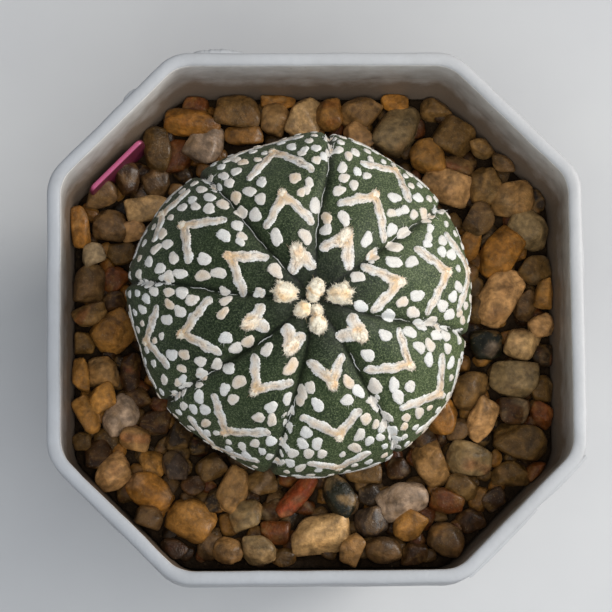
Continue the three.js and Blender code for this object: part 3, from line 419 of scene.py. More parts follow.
def joined(parts):
    """Points, faces and colours of several parts as one, each part being (points, groups, colours)."""
    points, groups, colours = [], {}, []
    start = 0
    for part_points, part_groups, part_colours in parts:
        points.append(part_points)
        colours.append(part_colours)
        for faces in part_groups:
            groups.setdefault(np.shape(faces)[1], []).append(np.asarray(faces) + start)
        start += len(part_points)
    faces = [np.concatenate(group) for group in groups.values()]
    return np.concatenate(points), faces, np.concatenate(colours)


def mesh_of(name, parts, material):
    """An object from several parts."""
    points, face_groups, colours = joined(parts)
    return make_mesh(name, points, face_groups, material, colours)


# Skin of the plant

PROFILE_STEPS = 1500
turn_steps = BASE_ANGLE * np.arange(PROFILE_STEPS + 1) / PROFILE_STEPS
profile_r = BODY_RADIUS * np.sin(turn_steps) ** (2 / BODY_FULLNESS)
upper = np.cos(turn_steps) >= 0
profile_z = np.cos(turn_steps) * np.where(upper, BODY_RISE, BODY_DROP)
profile_z -= np.where(upper, CROWN_DIMPLE * np.exp(-((profile_r / CROWN_DIMPLE_RADIUS) ** 2)), 0)
profile_along = np.concatenate([[0], np.cumsum(np.hypot(np.diff(profile_r), np.diff(profile_z)))])
profile_mid = (profile_along[1:] + profile_along[:-1]) / 2
profile_out_r = -np.diff(profile_z) / np.diff(profile_along)
profile_out_z = np.diff(profile_r) / np.diff(profile_along)

CRESTS = np.array([rib["crest"] for rib in RIBS])
CREST_SINK, GROOVE_SINK = np.array(LIMB_SINK).T
LEANING = Matrix.Rotation(
    math.radians(LEAN),
    3,
    (-math.sin(math.radians(LEAN_BEARING)), math.cos(math.radians(LEAN_BEARING)), 0),
)
LEANING_ROWS = np.array(LEANING)


def radius_at(along):
    """The plant's plain radius at distances from the crown, measured along the skin."""
    return np.interp(along, profile_along, profile_r)


def groove_bearing(index, along):
    """Bearings in degrees of a groove, on past the last one into the next round."""
    inner, outer = GROOVES[index % 8]
    return inner + (outer - inner) * smooth_step(5, 25, along) + 360 * (index // 8)


def rib_place(bearing, along):
    """The rib that a bearing falls on, the groove next to it, how far over it is and the way there."""
    edges = np.stack([groove_bearing(index, along) for index in range(9)])
    turned = (bearing - edges[0]) % 360 + edges[0]
    rib = np.clip((turned >= edges).sum(axis=0) - 1, 0, 7)
    number = np.arange(len(rib))
    crest = CRESTS[rib]
    groove = np.where(turned < crest, rib, rib + 1)
    edge = edges[groove, number]
    side = np.abs((turned - crest) / (edge - crest))
    return rib, groove % 8, side, np.radians(np.abs(edge - turned)) * radius_at(along)


def relief(bearing, along):
    """How far the skin lies inside the plain profile."""
    rib, near, side, to_groove = rib_place(bearing, along)
    groove = GROOVE_DEPTH * np.exp(-((to_groove / GROOVE_HALF_WIDTH) ** 2))
    rib_depth = RIB_DEPTH * (1 - (1 - LIMB_RIB_SHARE) * smooth_step(14, 30, along))
    depth = (rib_depth * side**RIB_CURVE + groove) * smooth_step(2, 16, along)
    sink = CREST_SINK[rib] + (GROOVE_SINK[near] - CREST_SINK[rib]) * smooth_step(0, 1, side)
    return (depth + sink * smooth_step(12, 30, along)) * (1 - smooth_step(44, 52, along))


def leaned(points):
    """Points of the upright plant in their leaning place in the pot."""
    return points @ LEANING_ROWS.T + np.array(BODY_CENTRE)


def skin(bearing, along, lift=0.0):
    """Points lift millimetres out from the skin, at bearings in degrees and distances from the crown."""
    bearing, along, lift = (np.asarray(v, float) for v in np.broadcast_arrays(bearing, along, lift))
    shape = bearing.shape
    bearing, lift = bearing.ravel(), lift.ravel()
    along = np.clip(along.ravel(), 0.05, LAST_ALONG)
    out = lift - relief(bearing, along)
    reach = radius_at(along) + np.interp(along, profile_mid, profile_out_r) * out
    height = np.interp(along, profile_along, profile_z) + np.interp(along, profile_mid, profile_out_z) * out
    turn = np.radians(bearing)
    plain = np.stack([reach * np.cos(turn), reach * np.sin(turn), height], axis=-1)
    uneven = 0.07 * waves(plain, 5, 3) + 0.035 * waves(plain, 1.6, 4)
    plain += uneven[:, None] * np.stack([np.cos(turn), np.sin(turn), np.ones_like(turn)], axis=-1) * 0.7
    return leaned(plain).reshape(*shape, 3)


def out_of_skin(bearing, along):
    """Unit vectors that point out of the skin."""
    way = skin(bearing, along, 0.5) - skin(bearing, along, 0)
    return way / np.linalg.norm(way, axis=-1, keepdims=True)


def moved(place, across, down):
    """Bearings and distances that lie across and down millimetres from a place."""
    bearing, along = place
    return bearing + np.degrees(across / radius_at(along)), along + down


# Columns of a rib's skin by their share of the way to its grooves, closer together near these.
HALF_RIB = [0.985, 0.965, 0.94, 0.905, 0.86, 0.8, 0.72, 0.62, 0.5, 0.36, 0.18]
SKIN_COLUMNS = [-1, *(-share for share in HALF_RIB), 0, *reversed(HALF_RIB)]


def skin_bearings(alongs):
    """Bearings of the skin's columns, a row for each distance from the crown."""
    bearings = []
    for rib, crest in enumerate(CRESTS):
        for side in SKIN_COLUMNS:
            edge = groove_bearing(rib if side < 0 else rib + 1, alongs)
            bearings.append(crest + (edge - crest) * abs(side))
    return np.array(bearings).T


def skin_shade(bearing, along):
    """Tints: painted shade in the grooves, a darker young crown, and a painted sheen that lightens and
    yellows the side at bearing 0.
    """
    to_groove = rib_place(bearing, along)[3]
    young = 0.4 + 0.6 * smooth_step(2, 14, along)
    # painted shade along the grooves: a narrow dark line and a wider soft band
    narrow = np.exp(-((to_groove / (0.22 + 0.008 * along)) ** 2))
    wide = np.exp(-((to_groove / 1.2) ** 2))
    painted_groove_shade = 1 - 0.6 * narrow - 0.1 * wide
    old = 1 + 0.45 * smooth_step(20, 34, along)
    # painted sheen: the side at bearing 0, towards the lamps, is lighter and warmer
    painted_sheen = smooth_step(3, 24, along) * (0.5 + 0.5 * np.cos(np.radians(bearing)))
    light = young * painted_groove_shade * old * (0.82 + 0.84 * painted_sheen)
    return light[:, None] * (1 + np.outer(painted_sheen, [0.06, 0, -0.06]))


def make_skin(material):
    """The ribbed body."""
    alongs = np.concatenate([np.linspace(0.5, 3, 8, endpoint=False), np.linspace(3, LAST_ALONG, 105)])
    bearings = skin_bearings(alongs)
    rings, size = bearings.shape
    grid = skin(bearings, alongs[:, None] + 0 * bearings)
    under = leaned(np.array([[0, 0, profile_z[-1] - 1.5]]))
    points = np.concatenate([grid.reshape(-1, 3), skin([0.0], [0.05]), under])
    along = np.concatenate([np.repeat(alongs, size), [0.05, LAST_ALONG]])
    shade = skin_shade(np.concatenate([bearings.ravel(), [0, 0]]), along)
    return make_mesh("cactus_skin", points, shell_faces(rings, size, outward=False), material, shade)


def make_root(material):
    """The tap root, a tapering turnip with rings and unevenness."""
    sunk = 1.5
    top = profile_z[-1] + sunk
    rings, sides = 40, 40
    share = np.linspace(0, 1, rings)
    heights = top - (ROOT_LENGTH + sunk) * share
    radii = ROOT_RADIUS * np.interp(share, [0, 0.28, 0.65, 0.97, 1], [1, 1, 0.7, 0.26, 0.1])
    turns = np.arange(sides) * 2 * math.pi / sides
    rows = []
    for height, radius in zip(heights, radii):
        ring = np.stack([radius * np.cos(turns), radius * np.sin(turns), np.full(sides, height)], axis=-1)
        rows.append(ring * np.array([0.96, 0.96, 1]) + 0.12 * waves(ring, 3, 9)[:, None] * [1, 1, 0])
    ends = np.array([[0, 0, top], [0, 0, heights[-1]]])
    points = leaned(np.concatenate([*rows, ends]))
    return make_mesh("tap_root", points, shell_faces(rings, sides, outward=False), material)


# Felt on the skin

FELT_WHITE = np.array([0.91, 0.90, 0.865])
FELT_PEACH = np.array([0.88, 0.60, 0.33])
FINE_FIBRE_RADIUS = 0.045


def felt_tint(warm):
    """White felt, by a share from 0 to 1 as warm as peach."""
    return FELT_WHITE + (FELT_PEACH - FELT_WHITE) * warm


def limb_share(along):
    """The share of its height that felt keeps, less round the widest circle, where it is thin."""
    return 1 - 0.55 * smooth_step(31, 36, along)


def make_fibres(roots, ways, lengths, thickness, bend, tints):
    """Fine tapering hairs from roots along ways, each curving by the vector bend."""
    count = len(roots)
    thickness = np.broadcast_to(thickness, count)[:, None]
    ways = ways / np.linalg.norm(ways, axis=1, keepdims=True)
    helper = np.where(np.abs(ways[:, 2:]) < 0.9, [[0.0, 0.0, 1.0]], [[1.0, 0.0, 0.0]])
    first = np.cross(ways, helper)
    first /= np.linalg.norm(first, axis=1, keepdims=True)
    second = np.cross(ways, first)
    points = []
    for share, radius in ((0, 1.0), (0.55, 0.75)):
        middle = roots + ways * (lengths * share)[:, None] + bend * (lengths * share**2)[:, None]
        for corner in range(3):
            turn = corner * 2 * math.pi / 3
            side = first * math.cos(turn) + second * math.sin(turn)
            points.append(middle + side * radius * thickness)
    points.append(roots + ways * lengths[:, None] + bend * lengths[:, None])
    points = np.stack(points, axis=1)
    quads = np.array([[0, 1, 4, 3], [1, 2, 5, 4], [2, 0, 3, 5]])
    triangles = np.array([[3, 4, 6], [4, 5, 6], [5, 3, 6], [2, 1, 0]])
    starts = (np.arange(count) * 7)[:, None, None]
    groups = [(quads + starts).reshape(-1, 4), (triangles + starts).reshape(-1, 3)]
    return points.reshape(-1, 3), groups, np.repeat(tints, 7, axis=0)


# Chevrons

# Places across an arm from edge to edge, and the felt's height over the skin there.
ARM_ACROSS = np.array([-1, -0.93, -0.78, -0.5, -0.2, 0.2, 0.5, 0.78, 0.93, 1])
ARM_LIFTS = np.array([-0.12, 0.09, 0.19, 0.24, 0.26, 0.26, 0.24, 0.19, 0.09, -0.12])
ARM_STATIONS = 44
ARM_WIDTH = 1.7
ARM_ROUND_END = 0.9
ARM_FIBRES_PER_MM = 12
ARM_FIBRE_RADIUS = 0.048


def youth(areole):
    """1 for the areoles nearest to the crown, 0 for those further out."""
    return float(1 - smooth_step(9, 16, areole[1]))


def chevrons_of(rib):
    """A rib's chevrons, with those that follow below the widest circle."""
    made = list(rib["chevrons"])
    along = made[-1][0][1] + LOWER_SPACING
    while along < LOWER_END:
        arms = along - LOWER_ARM_RUN
        crest = rib["crest"]
        made.append(((crest, along), (crest - LOWER_ARM_SPREAD, arms), (crest + LOWER_ARM_SPREAD, arms)))
        along += LOWER_SPACING
    return made


def arm_path(end, areole, share):
    """Bearings and distances along an arm, share 0 at its free end and 1 at the areole."""
    bearing = end[0] + (areole[0] - end[0]) * share
    along = end[1] + (areole[1] - end[1]) * share - ARM_BOW * 4 * share * (1 - share)
    return bearing, along


def arm_line(end, areole, width, flare, draw):
    """An arm from its free end to the areole, as lists of values along its middle line."""
    share = np.linspace(0, 1, ARM_STATIONS)
    bearing, along = arm_path(end, areole, share)
    radius = radius_at(along)
    run_across = np.gradient(np.radians(bearing)) * radius
    run_down = np.gradient(along)
    length = np.hypot(run_across, run_down)
    reach = np.cumsum(length) - length[0]
    tip = np.sqrt(np.clip(1 - np.clip(1 - reach / ARM_ROUND_END, 0, 1) ** 2, 0.02, 1))
    phase = draw.uniform(0, 6.28, 4)
    swell = 1 + 0.10 * np.sin(reach * 1.3 + phase[0]) + 0.06 * np.sin(reach * 3.1 + phase[1])
    return SimpleNamespace(
        share=share,
        bearing=bearing,
        along=along,
        radius=radius,
        side_across=run_down / length,
        side_down=-run_across / length,
        reach=reach,
        tip=tip,
        half=width / 2 * tip * swell * (0.84 + 0.16 * smooth_step(0, 0.4, share) + flare * share**2),
        drift=0.10 * np.sin(reach * 2.1 + phase[2]),
        warmth=0.12 * np.sin(reach * 2.7 + phase[3]),
        thin=limb_share(along),
    )


def arm_band(line, draw):
    """The band of felt along an arm, with shaggy edges and a warm middle."""
    size = (ARM_STATIONS, len(ARM_ACROSS))
    shag = np.zeros(size)
    shag[:, [0, 1]] = draw.uniform(-0.14, 0.09, (ARM_STATIONS, 1))
    shag[:, [8, 9]] = draw.uniform(-0.09, 0.14, (ARM_STATIONS, 1))
    line = SimpleNamespace(**{key: values[:, None] for key, values in vars(line).items()})
    offset = line.half * ARM_ACROSS + shag * line.tip + line.drift
    tufts = 0.04 * draw.normal(size=size) * (ARM_LIFTS > 0.18)
    lift = (ARM_LIFTS * line.tip**0.5 + tufts) * line.thin
    bearing = line.bearing + np.degrees(offset * line.side_across / line.radius)
    grid = skin(bearing, line.along + offset * line.side_down, lift)
    warm = 0.68 * np.exp(-((ARM_ACROSS / 0.66) ** 2)) * (0.35 + 0.65 * line.share**0.8)
    warm = np.clip(warm + 0.4 * smooth_step(0.65, 1, line.share) + line.warmth, 0, 1)
    tint = felt_tint(warm[..., None]) * draw.uniform(0.94, 1.0)
    return grid.reshape(-1, 3), [ring_faces(*size, closed=False)], tint.reshape(-1, 3)


def over_arm(line, where, aside, height, draw):
    """Points over an arm's felt, at shares of its length and of its half width."""
    where = np.clip(where, 0, 1)
    at = SimpleNamespace(**{key: np.interp(where, line.share, values) for key, values in vars(line).items()})
    offset = aside * at.half + at.drift
    dome = height * (1 - 0.6 * aside**2) + draw.uniform(0, 0.05, len(where))
    turn = offset * at.side_across / at.radius
    return skin(at.bearing + np.degrees(turn), at.along + offset * at.side_down, dome * at.thin)


def arm_fibres(line, draw):
    """Fine hairs that lie along an arm and point to its free end."""
    total = line.reach[-1]
    count = int(ARM_FIBRES_PER_MM * total)
    start = draw.uniform(0.02, 1, count)
    finish = np.clip(start - draw.uniform(0.5, 1.2, count) / total, -0.02, 1)
    aside = draw.uniform(-0.92, 0.92, count)
    spread = aside * draw.uniform(0.92, 1.1, count) + draw.normal(0, 0.06, count)
    roots = over_arm(line, start, aside, 0.24, draw)
    ways = over_arm(line, finish, spread, 0.27, draw) - roots
    lengths = np.linalg.norm(ways, axis=1) + 0.05
    warm = (0.95 - np.abs(aside)) * (0.3 + 0.65 * start) + draw.normal(0, 0.15, count)
    tints = felt_tint(np.clip(warm, 0, 1)[:, None]) * draw.uniform(0.72, 1.08, (count, 1))
    bend = 0.08 * draw.normal(size=(count, 3))
    return make_fibres(roots, ways, lengths, ARM_FIBRE_RADIUS, bend, tints)


def make_chevrons(material, draw):
    """The two arms of each chevron, wider towards the areole on the young ones."""
    parts = []
    for rib in RIBS:
        for areole, *ends in chevrons_of(rib):
            young = youth(areole)
            for end in ends:
                width = (ARM_WIDTH + 0.15 * young) * draw.uniform(0.92, 1.06)
                line = arm_line(end, areole, width, 0.35 * young, draw)
                parts += [arm_band(line, draw), arm_fibres(line, draw)]
    return mesh_of("felt_chevrons", parts, material)


# Flecks

# Rings of a fleck as shares of its reach, and the felt's height over the skin at each.
FLECK_SHARES = np.array([0.34, 0.66, 0.86, 0.96, 1.0])
FLECK_LIFTS = np.array([0.25, 0.24, 0.18, 0.08, -0.12])
FLECK_SECTORS = 26
FLECK_SQUARENESS = 2.25
FLECK_HAIRS = 11
# Half width and half length of a listed fleck, and of a small one round the limb.
LISTED_FLECK = (0.97, 1.36)
LIMB_FLECK = (0.98, 1.2)
# Places drawn at random round the limb, kept where they have room.
LIMB_TRIES = 9000
LIMB_START = 28
LIMB_END = LAST_ALONG - 1.5


def fleck_outline(angle, count, draw):
    """How far flecks reach by direction: rounded squares, each uneven in its own way."""
    phase = draw.uniform(0, 6.28, (count, 4, 1))
    outline = 1 + 0.08 * np.cos(2 * angle + phase[:, 0]) + 0.075 * np.cos(3 * angle + phase[:, 1])
    outline += 0.03 * np.cos(4 * angle + phase[:, 2])
    corners = np.abs(np.cos(angle)) ** FLECK_SQUARENESS + np.abs(np.sin(angle)) ** FLECK_SQUARENESS
    return outline / corners ** (1 / FLECK_SQUARENESS)


def fleck_points(places, sizes, draw):
    """Points of flecks: the middle and then the rings of each."""
    count = len(places)
    angle = np.arange(FLECK_SECTORS) * 2 * math.pi / FLECK_SECTORS
    outline = fleck_outline(angle, count, draw)
    shag = draw.uniform(-0.08, 0.07, (count, FLECK_SECTORS))
    turn = draw.normal(0, 0.32, (count, 1))
    thin = limb_share(places[:, 1:])
    across, down, lift = [0 * thin], [0 * thin], [0.26 * thin]
    for share, height in zip(FLECK_SHARES, FLECK_LIFTS):
        reach = share * (outline + (shag if share > 0.9 else 0))
        x = reach * np.cos(angle) * sizes[:, :1]
        y = reach * np.sin(angle) * sizes[:, 1:]
        across.append(x * np.cos(turn) - y * np.sin(turn))
        down.append(x * np.sin(turn) + y * np.cos(turn))
        wobble = draw.normal(0, 0.035, (count, FLECK_SECTORS)) if height > 0.1 else 0
        lift.append((height + wobble + 0 * x) * thin)
    across, down, lift = (np.concatenate(rows, axis=1) for rows in (across, down, lift))
    return skin(*moved((places[:, :1], places[:, 1:]), across, down), lift)


def fleck_faces(count):
    """The faces of flecks, each with a fan in its middle and quads between its rings."""
    rings = len(FLECK_SHARES)
    starts = (np.arange(count) * (1 + rings * FLECK_SECTORS))[:, None, None]
    quads = 1 + ring_faces(rings, FLECK_SECTORS) + starts
    triangles = fan_faces(0, 1, FLECK_SECTORS, flip=True) + starts
    return [quads.reshape(-1, 4), triangles.reshape(-1, 3)]


def fleck_hairs(places, sizes, warm, draw):
    """Short hairs that start on flecks and reach over their edges."""
    count = len(places) * FLECK_HAIRS
    middle = tuple(np.repeat(places, FLECK_HAIRS, axis=0).T)
    half_x, half_y = np.repeat(sizes, FLECK_HAIRS, axis=0).T
    angles = draw.uniform(0, 2 * math.pi, count)
    reach = draw.uniform(0.2, 0.75, count)
    x, y = half_x * reach * np.cos(angles), half_y * reach * np.sin(angles)
    far_x = x + half_x * (0.45 * np.cos(angles) + 0.15 * draw.normal(size=count))
    far_y = y + half_y * (0.35 * np.sin(angles) + draw.uniform(0.0, 0.4, count))
    thin = limb_share(middle[1])
    roots = skin(*moved(middle, x, y), 0.20 * thin)
    ways = skin(*moved(middle, far_x, far_y), draw.uniform(0.06, 0.27, count) * thin) - roots
    lengths = np.linalg.norm(ways, axis=1)
    tints = np.repeat(felt_tint(0.6 * warm[:, None]), FLECK_HAIRS, axis=0)
    tints = tints * draw.uniform(0.78, 1.06, (count, 1))
    bend = 0.1 * draw.normal(size=(count, 3))
    return make_fibres(roots, ways, lengths, FINE_FIBRE_RADIUS, bend, tints)


def fleck_parts(places, sizes, draw):
    """Flecks of felt with their half sizes, warmest in the middle, and their hairs."""
    places, sizes = np.array(places), np.array(sizes)
    count = len(places)
    points = fleck_points(places, sizes, draw).reshape(-1, 3)
    warm = np.clip(draw.gamma(1.3, 0.24, count), 0, 0.9)
    edge = np.concatenate([[0], np.repeat(FLECK_SHARES, FLECK_SECTORS)])[:, None]
    tint = felt_tint(warm[:, None, None] * (1 - 0.55 * edge)) * draw.uniform(0.90, 1.0, (count, 1, 1))
    flecks = (points, fleck_faces(count), tint.reshape(-1, 3))
    return [flecks, fleck_hairs(places, sizes, warm, draw)]


def apart(place, others):
    """Distances on the skin from a place to others, near enough for spacing."""
    others = np.asarray(others)
    radius = radius_at((place[1] + others[:, 1]) / 2)
    turn = (place[0] - others[:, 0] + 180) % 360 - 180
    return np.hypot(np.radians(turn) * radius, place[1] - others[:, 1])


def listed_flecks(draw):
    """Places and half sizes of the listed flecks, smaller round the limb and where two lie close."""
    places, sizes = [], []
    for rib in RIBS:
        for across, along in rib["dots"]:
            places.append(moved((rib["dots_from"], along), across, 0))
            scale = draw.uniform(0.92, 1.08) * (1 - 0.16 * smooth_step(24, 34, along))
            width, length = LISTED_FLECK
            sizes.append((width * scale, length * scale * draw.uniform(0.88, 1.1)))
    for number, place in enumerate(places):
        gap = np.sort(apart(place, places))[1]
        squeeze = min(1, max(0.75, (gap - 0.1) / sum(sizes[number])))
        sizes[number] = tuple(half * squeeze for half in sizes[number])
    return places, sizes


def arm_marks():
    """Places along all arms, which the flecks round the limb keep clear of."""
    marks = []
    for rib in RIBS:
        for areole, *ends in chevrons_of(rib):
            for end in ends:
                marks.extend(zip(*arm_path(end, areole, np.linspace(0, 1, 14))))
    return marks


def add_limb_flecks(places, sizes, draw):
    """Adds small flecks round the limb, at drawn places that have room."""
    marks = arm_marks()
    alongs = LIMB_START + (LIMB_END - LIMB_START) * draw.uniform(0, 1, LIMB_TRIES)
    bearings = draw.uniform(0, 360, LIMB_TRIES)
    to_grooves = rib_place(bearings, alongs)[3]
    for bearing, along, to_groove in zip(bearings, alongs, to_grooves):
        place = (bearing, along)
        if to_groove < 1.0 or apart(place, marks).min() < 1.6:
            continue
        scale = draw.uniform(0.55, 0.78)
        limb = 0.5 * math.exp(-(((along - 38) / 4) ** 2))
        if apart(place, places).min() < 1.6 + 1.15 * scale + limb:
            continue
        places.append(place)
        sizes.append(tuple(half * scale for half in LIMB_FLECK))


def make_flecks(material, draw):
    """The felt flecks between the chevrons."""
    places, sizes = listed_flecks(draw)
    add_limb_flecks(places, sizes, draw)
    return mesh_of("felt_flecks", fleck_parts(places, sizes, draw), material)


# Wool

# Wool's pale tint and the tint of its warm patches.
CROWN_TINTS = np.array([[0.98, 0.885, 0.705], [0.92, 0.63, 0.33]])
AREOLE_TINTS = np.array([[0.95, 0.85, 0.69], [0.90, 0.60, 0.34]])
DOME_ROWS = 10
DOME_COLUMNS = 26
CLUMP_RADIUS = 0.16
HAIR_RADIUS = 0.035
FUZZ_TO_A_CLUMP = 12


@dataclass
class Wool:
    """How a lobe of wool is made."""

    size: tuple  # half its width, half its length away from the crown, and its height
    clumps: int  # thick fibres
    hairs: int  # long fine ones
    reach: float  # how long the fibres are
    flow: float  # how they lean, away from the crown or, below 0, towards it
    tints: np.ndarray
    warmth: float  # the strength of its warm patches
    rise: float  # how far the fibres stand up, and how lumpy the lobe is


def dome_directions():
    """Unit directions of a dome from its top down past its middle, one ring after the other."""
    tilt = np.linspace(0.12, 0.62, DOME_ROWS)[:, None] * math.pi
    turn = np.arange(DOME_COLUMNS)[None, :] * 2 * math.pi / DOME_COLUMNS
    ring = [np.sin(tilt) * np.cos(turn), np.sin(tilt) * np.sin(turn), np.cos(tilt) + 0 * turn]
    return np.concatenate([[[0, 0, 1]], np.stack(ring, axis=-1).reshape(-1, 3)])


class Lobe:
    """A lobe of wool on the skin at a place, made in layers."""

    def __init__(self, place, wool, draw):
        self.wool = wool
        self.draw = draw
        self.seat = skin(*place, -0.1)
        away = skin(place[0], place[1] + 0.6, -0.1) - self.seat
        out = out_of_skin(*place)
        aside = np.cross(out, away)
        aside /= np.linalg.norm(aside)
        self.axes = np.stack([aside, np.cross(aside, out), out])
        self.lump_seed, self.pit_seed, self.patch_seed = (int(draw.integers(1e6)) for _ in range(3))

    def tints(self, directions):
        """Tints by direction from the lobe's middle: pale, with warm patches that fade to its edge."""
        pale, warm = self.wool.tints
        patch = smooth_step(-0.2, 0.8, waves(directions, 1.7, self.patch_seed))
        patch = patch * smooth_step(0, 0.75, directions[:, 2])
        share = self.wool.warmth * patch + 0.08 * self.draw.normal(size=len(directions))
        return pale + (warm - pale) * np.clip(share, 0, 1)[:, None]

    def rooted(self, count, depth):
        """Drawn directions from the lobe's middle, and the places there at a share of its size."""
        directions = self.draw.normal(size=(count, 3))
        directions[:, 2] = np.abs(directions[:, 2]) - 0.15
        directions /= np.linalg.norm(directions, axis=1, keepdims=True)
        return directions, self.seat + (directions * self.wool.size * depth) @ self.axes

    def dome(self):
        """The lumpy dome under the fibres."""
        unit = dome_directions()
        lumps = waves(unit, 0.8, self.lump_seed) + 0.2 * waves(unit, 0.35, self.pit_seed)
        local = unit * (1 + 0.26 * self.wool.rise * lumps[:, None]) * self.wool.size
        faces = [1 + ring_faces(DOME_ROWS, DOME_COLUMNS), fan_faces(0, 1, DOME_COLUMNS, flip=True)]
        # painted shade in the dome's hollows, darker where its lumps sink
        painted_pit_shade = np.clip(0.95 + 0.12 * lumps, 0.8, 1.05)[:, None]
        return self.seat + local @ self.axes, faces, self.tints(unit) * painted_pit_shade

    def clumps(self):
        """Thick fibres that give the lobe its tufts."""
        wool, draw, count = self.wool, self.draw, self.wool.clumps
        directions, roots = self.rooted(count, 0.84)
        ways = 0.8 * directions + [0, wool.flow, 0] + 0.3 * draw.normal(size=(count, 3))
        ways = ways * [1, 1, wool.rise] @ self.axes
        lengths = wool.reach * draw.uniform(0.4, 0.9, count)
        thickness = CLUMP_RADIUS * draw.uniform(0.7, 1.3, count)
        bend = 0.15 * draw.normal(size=(count, 3))
        return make_fibres(roots, ways, lengths, thickness, bend, self.tints(directions))

    def fuzz(self):
        """Fine short fibres all over the lobe."""
        wool, draw, count = self.wool, self.draw, FUZZ_TO_A_CLUMP * self.wool.clumps
        directions, roots = self.rooted(count, 0.96)
        ways = 0.35 * directions + [0, 0.8 * wool.flow, 0] + 0.33 * draw.normal(size=(count, 3))
        ways = ways * [1, 1, wool.rise] @ self.axes
        lengths = wool.reach * draw.uniform(0.3, 0.75, count)
        bend = 0.3 * draw.normal(size=(count, 3))
        tints = self.tints(directions) * draw.uniform(0.9, 1.06, (count, 1))
        return make_fibres(roots, ways, lengths, FINE_FIBRE_RADIUS, bend, tints)

    def hairs(self):
        """A few long fine hairs that stick out of the lobe."""
        wool, draw, count = self.wool, self.draw, self.wool.hairs
        directions, roots = self.rooted(count, 0.9)
        ways = 0.3 * directions + [0, wool.flow + 0.5, 0.05] + 0.22 * draw.normal(size=(count, 3))
        lengths = wool.reach * draw.uniform(1.0, 1.9, count)
        bend = 0.2 * draw.normal(size=(count, 3))
        tints = np.tile(FELT_PEACH * 0.6, (count, 1))
        return make_fibres(roots, ways @ self.axes, lengths, HAIR_RADIUS, bend, tints)


def wool_at(place, wool, draw):
    """The layers of a lobe of wool on the skin at a place."""
    lobe = Lobe(place, wool, draw)
    return [lobe.dome(), lobe.clumps(), lobe.fuzz(), lobe.hairs()]


# A tooth of wool at a young areole, a young woolly ball, and the tufts round the ball.
TOOTH = Wool((0.45, 0.8, 0.34), 6, 0, reach=0.7, flow=-1.0, tints=AREOLE_TINTS, warmth=0.5, rise=0.2)
BALL = Wool((1.62, 1.9, 1.0), 40, 5, reach=0.75, flow=0.25, tints=CROWN_TINTS, warmth=0.85, rise=0.3)
BALL_TUFT = Wool((0.4, 0.75, 0.45), 6, 1, reach=0.8, flow=1.0, tints=CROWN_TINTS, warmth=0.2, rise=0.3)
# How far aside of a young areole its teeth stand, and how far aside of a ball and down its tufts do.
TEETH = (-0.75, 0.1, 0.8)
BALL_TUFTS = ((-0.8, -1.3), (0.7, -1.2), (1.1, 0.9), (-1.0, 1.1), (0.1, 1.6))
# Lobes of wool at the crown: bearing, distance from the crown, half width and height.
CROWN_LOBES = [
    (75, 1.6, 1.55, 2.2),
    (95, 0.5, 1.25, 1.9),
    (228, 2.6, 1.4, 1.7),
    (285, 2.2, 1.05, 1.5),
    (279, 4.4, 1.55, 1.7),
]


def areole_wool(young):
    """The wool of an areole, more of it on a young one."""
    size = (0.8 + 0.45 * young, 1.1 + 0.7 * young, 0.42 + 0.02 * young)
    clumps, hairs, reach = 8 + int(16 * young), 2 + int(3 * young), 0.65 + 0.15 * young
    return Wool(size, clumps, hairs, reach, flow=1.1, tints=AREOLE_TINTS, warmth=1.0, rise=0.2)


def crown_wool(radius, height):
    """The wool of a lobe at the crown."""
    size = (0.9 * radius, 1.05 * radius, 0.68 * height)
    clumps = int(18 * radius)
    return Wool(size, clumps, 4, reach=0.7, flow=0.3, tints=CROWN_TINTS, warmth=0.9, rise=0.35)


def make_areole_wool(material, draw):
    """A tuft on each areole, with teeth on the young ones, and the two young woolly balls."""
    parts = []
    for rib in RIBS:
        for areole, *_ in chevrons_of(rib):
            young = youth(areole)
            parts += wool_at(moved(areole, 0, 0.4 - 0.5 * young), areole_wool(young), draw)
            for aside in TEETH if young > 0.2 else ():
                parts += wool_at(moved(areole, aside, -1.1 - 0.3 * abs(aside)), TOOTH, draw)
        if rib["ball"]:
            parts += wool_at(rib["ball"], BALL, draw)
            for aside, down in BALL_TUFTS:
                tuft = replace(BALL_TUFT, flow=math.copysign(1, down))
                parts += wool_at(moved(rib["ball"], aside, down), tuft, draw)
    return mesh_of("areole_wool", parts, material)


def make_crown_wool(material, draw):
    """The lobes of wool in the middle of the crown."""
    parts = []
    for bearing, along, radius, height in CROWN_LOBES:
        parts += wool_at((bearing, along), crown_wool(radius, height), draw)
    return mesh_of("crown_wool_lobes", parts, material)


# Marks in the grooves

# Each pale scratch: groove number, and where it starts and ends.
GROOVE_SCRATCHES = [
    (3, 6.5, 9.5), (3, 11, 20), (3, 21, 27), (4, 12.5, 16), (4, 16.6, 21), (4, 24, 29),
    (5, 9, 12), (5, 21, 25.5), (2, 8, 20), (2, 22, 27), (1, 17, 24), (6, 17, 22), (7, 11, 15),
    (7, 20, 27), (0, 11, 18), (0, 22, 28),
]
SCRATCH_STATIONS = 30
# Each place with ragged flecks: groove number, distance from the crown, half width and half length.
GROOVE_FLECKS = [
    (1, 12.5, 0.9, 1.1), (0, 20.5, 1, 1.3), (0, 25, 0.9, 1.3), (0, 30, 1, 1.5), (5, 24.5, 0.9, 1.5),
    (5, 28, 1, 1.6), (5, 31.5, 1.1, 1.3), (6, 20.5, 0.8, 1.5), (6, 24, 0.9, 1.6), (6, 27.5, 1, 1.5),
    (6, 31, 1, 1.3), (7, 21.5, 1, 1.5), (7, 25, 1.1, 1.8), (7, 29, 1.1, 1.7), (7, 32.5, 1.2, 1.5),
    (4, 26, 0.8, 1.4), (4, 31.5, 1, 1.4), (3, 28, 0.8, 1.4), (3, 32, 1, 1.5), (2, 28.5, 0.8, 1.5),
    (2, 32, 0.9, 1.4), (1, 27, 0.9, 1.5), (1, 31.5, 1, 1.5),
]
FLECKS_TO_A_PLACE = 4
HAIRS_TO_A_FLECK = 4
GROOVE_HAIR_RADIUS = 0.055


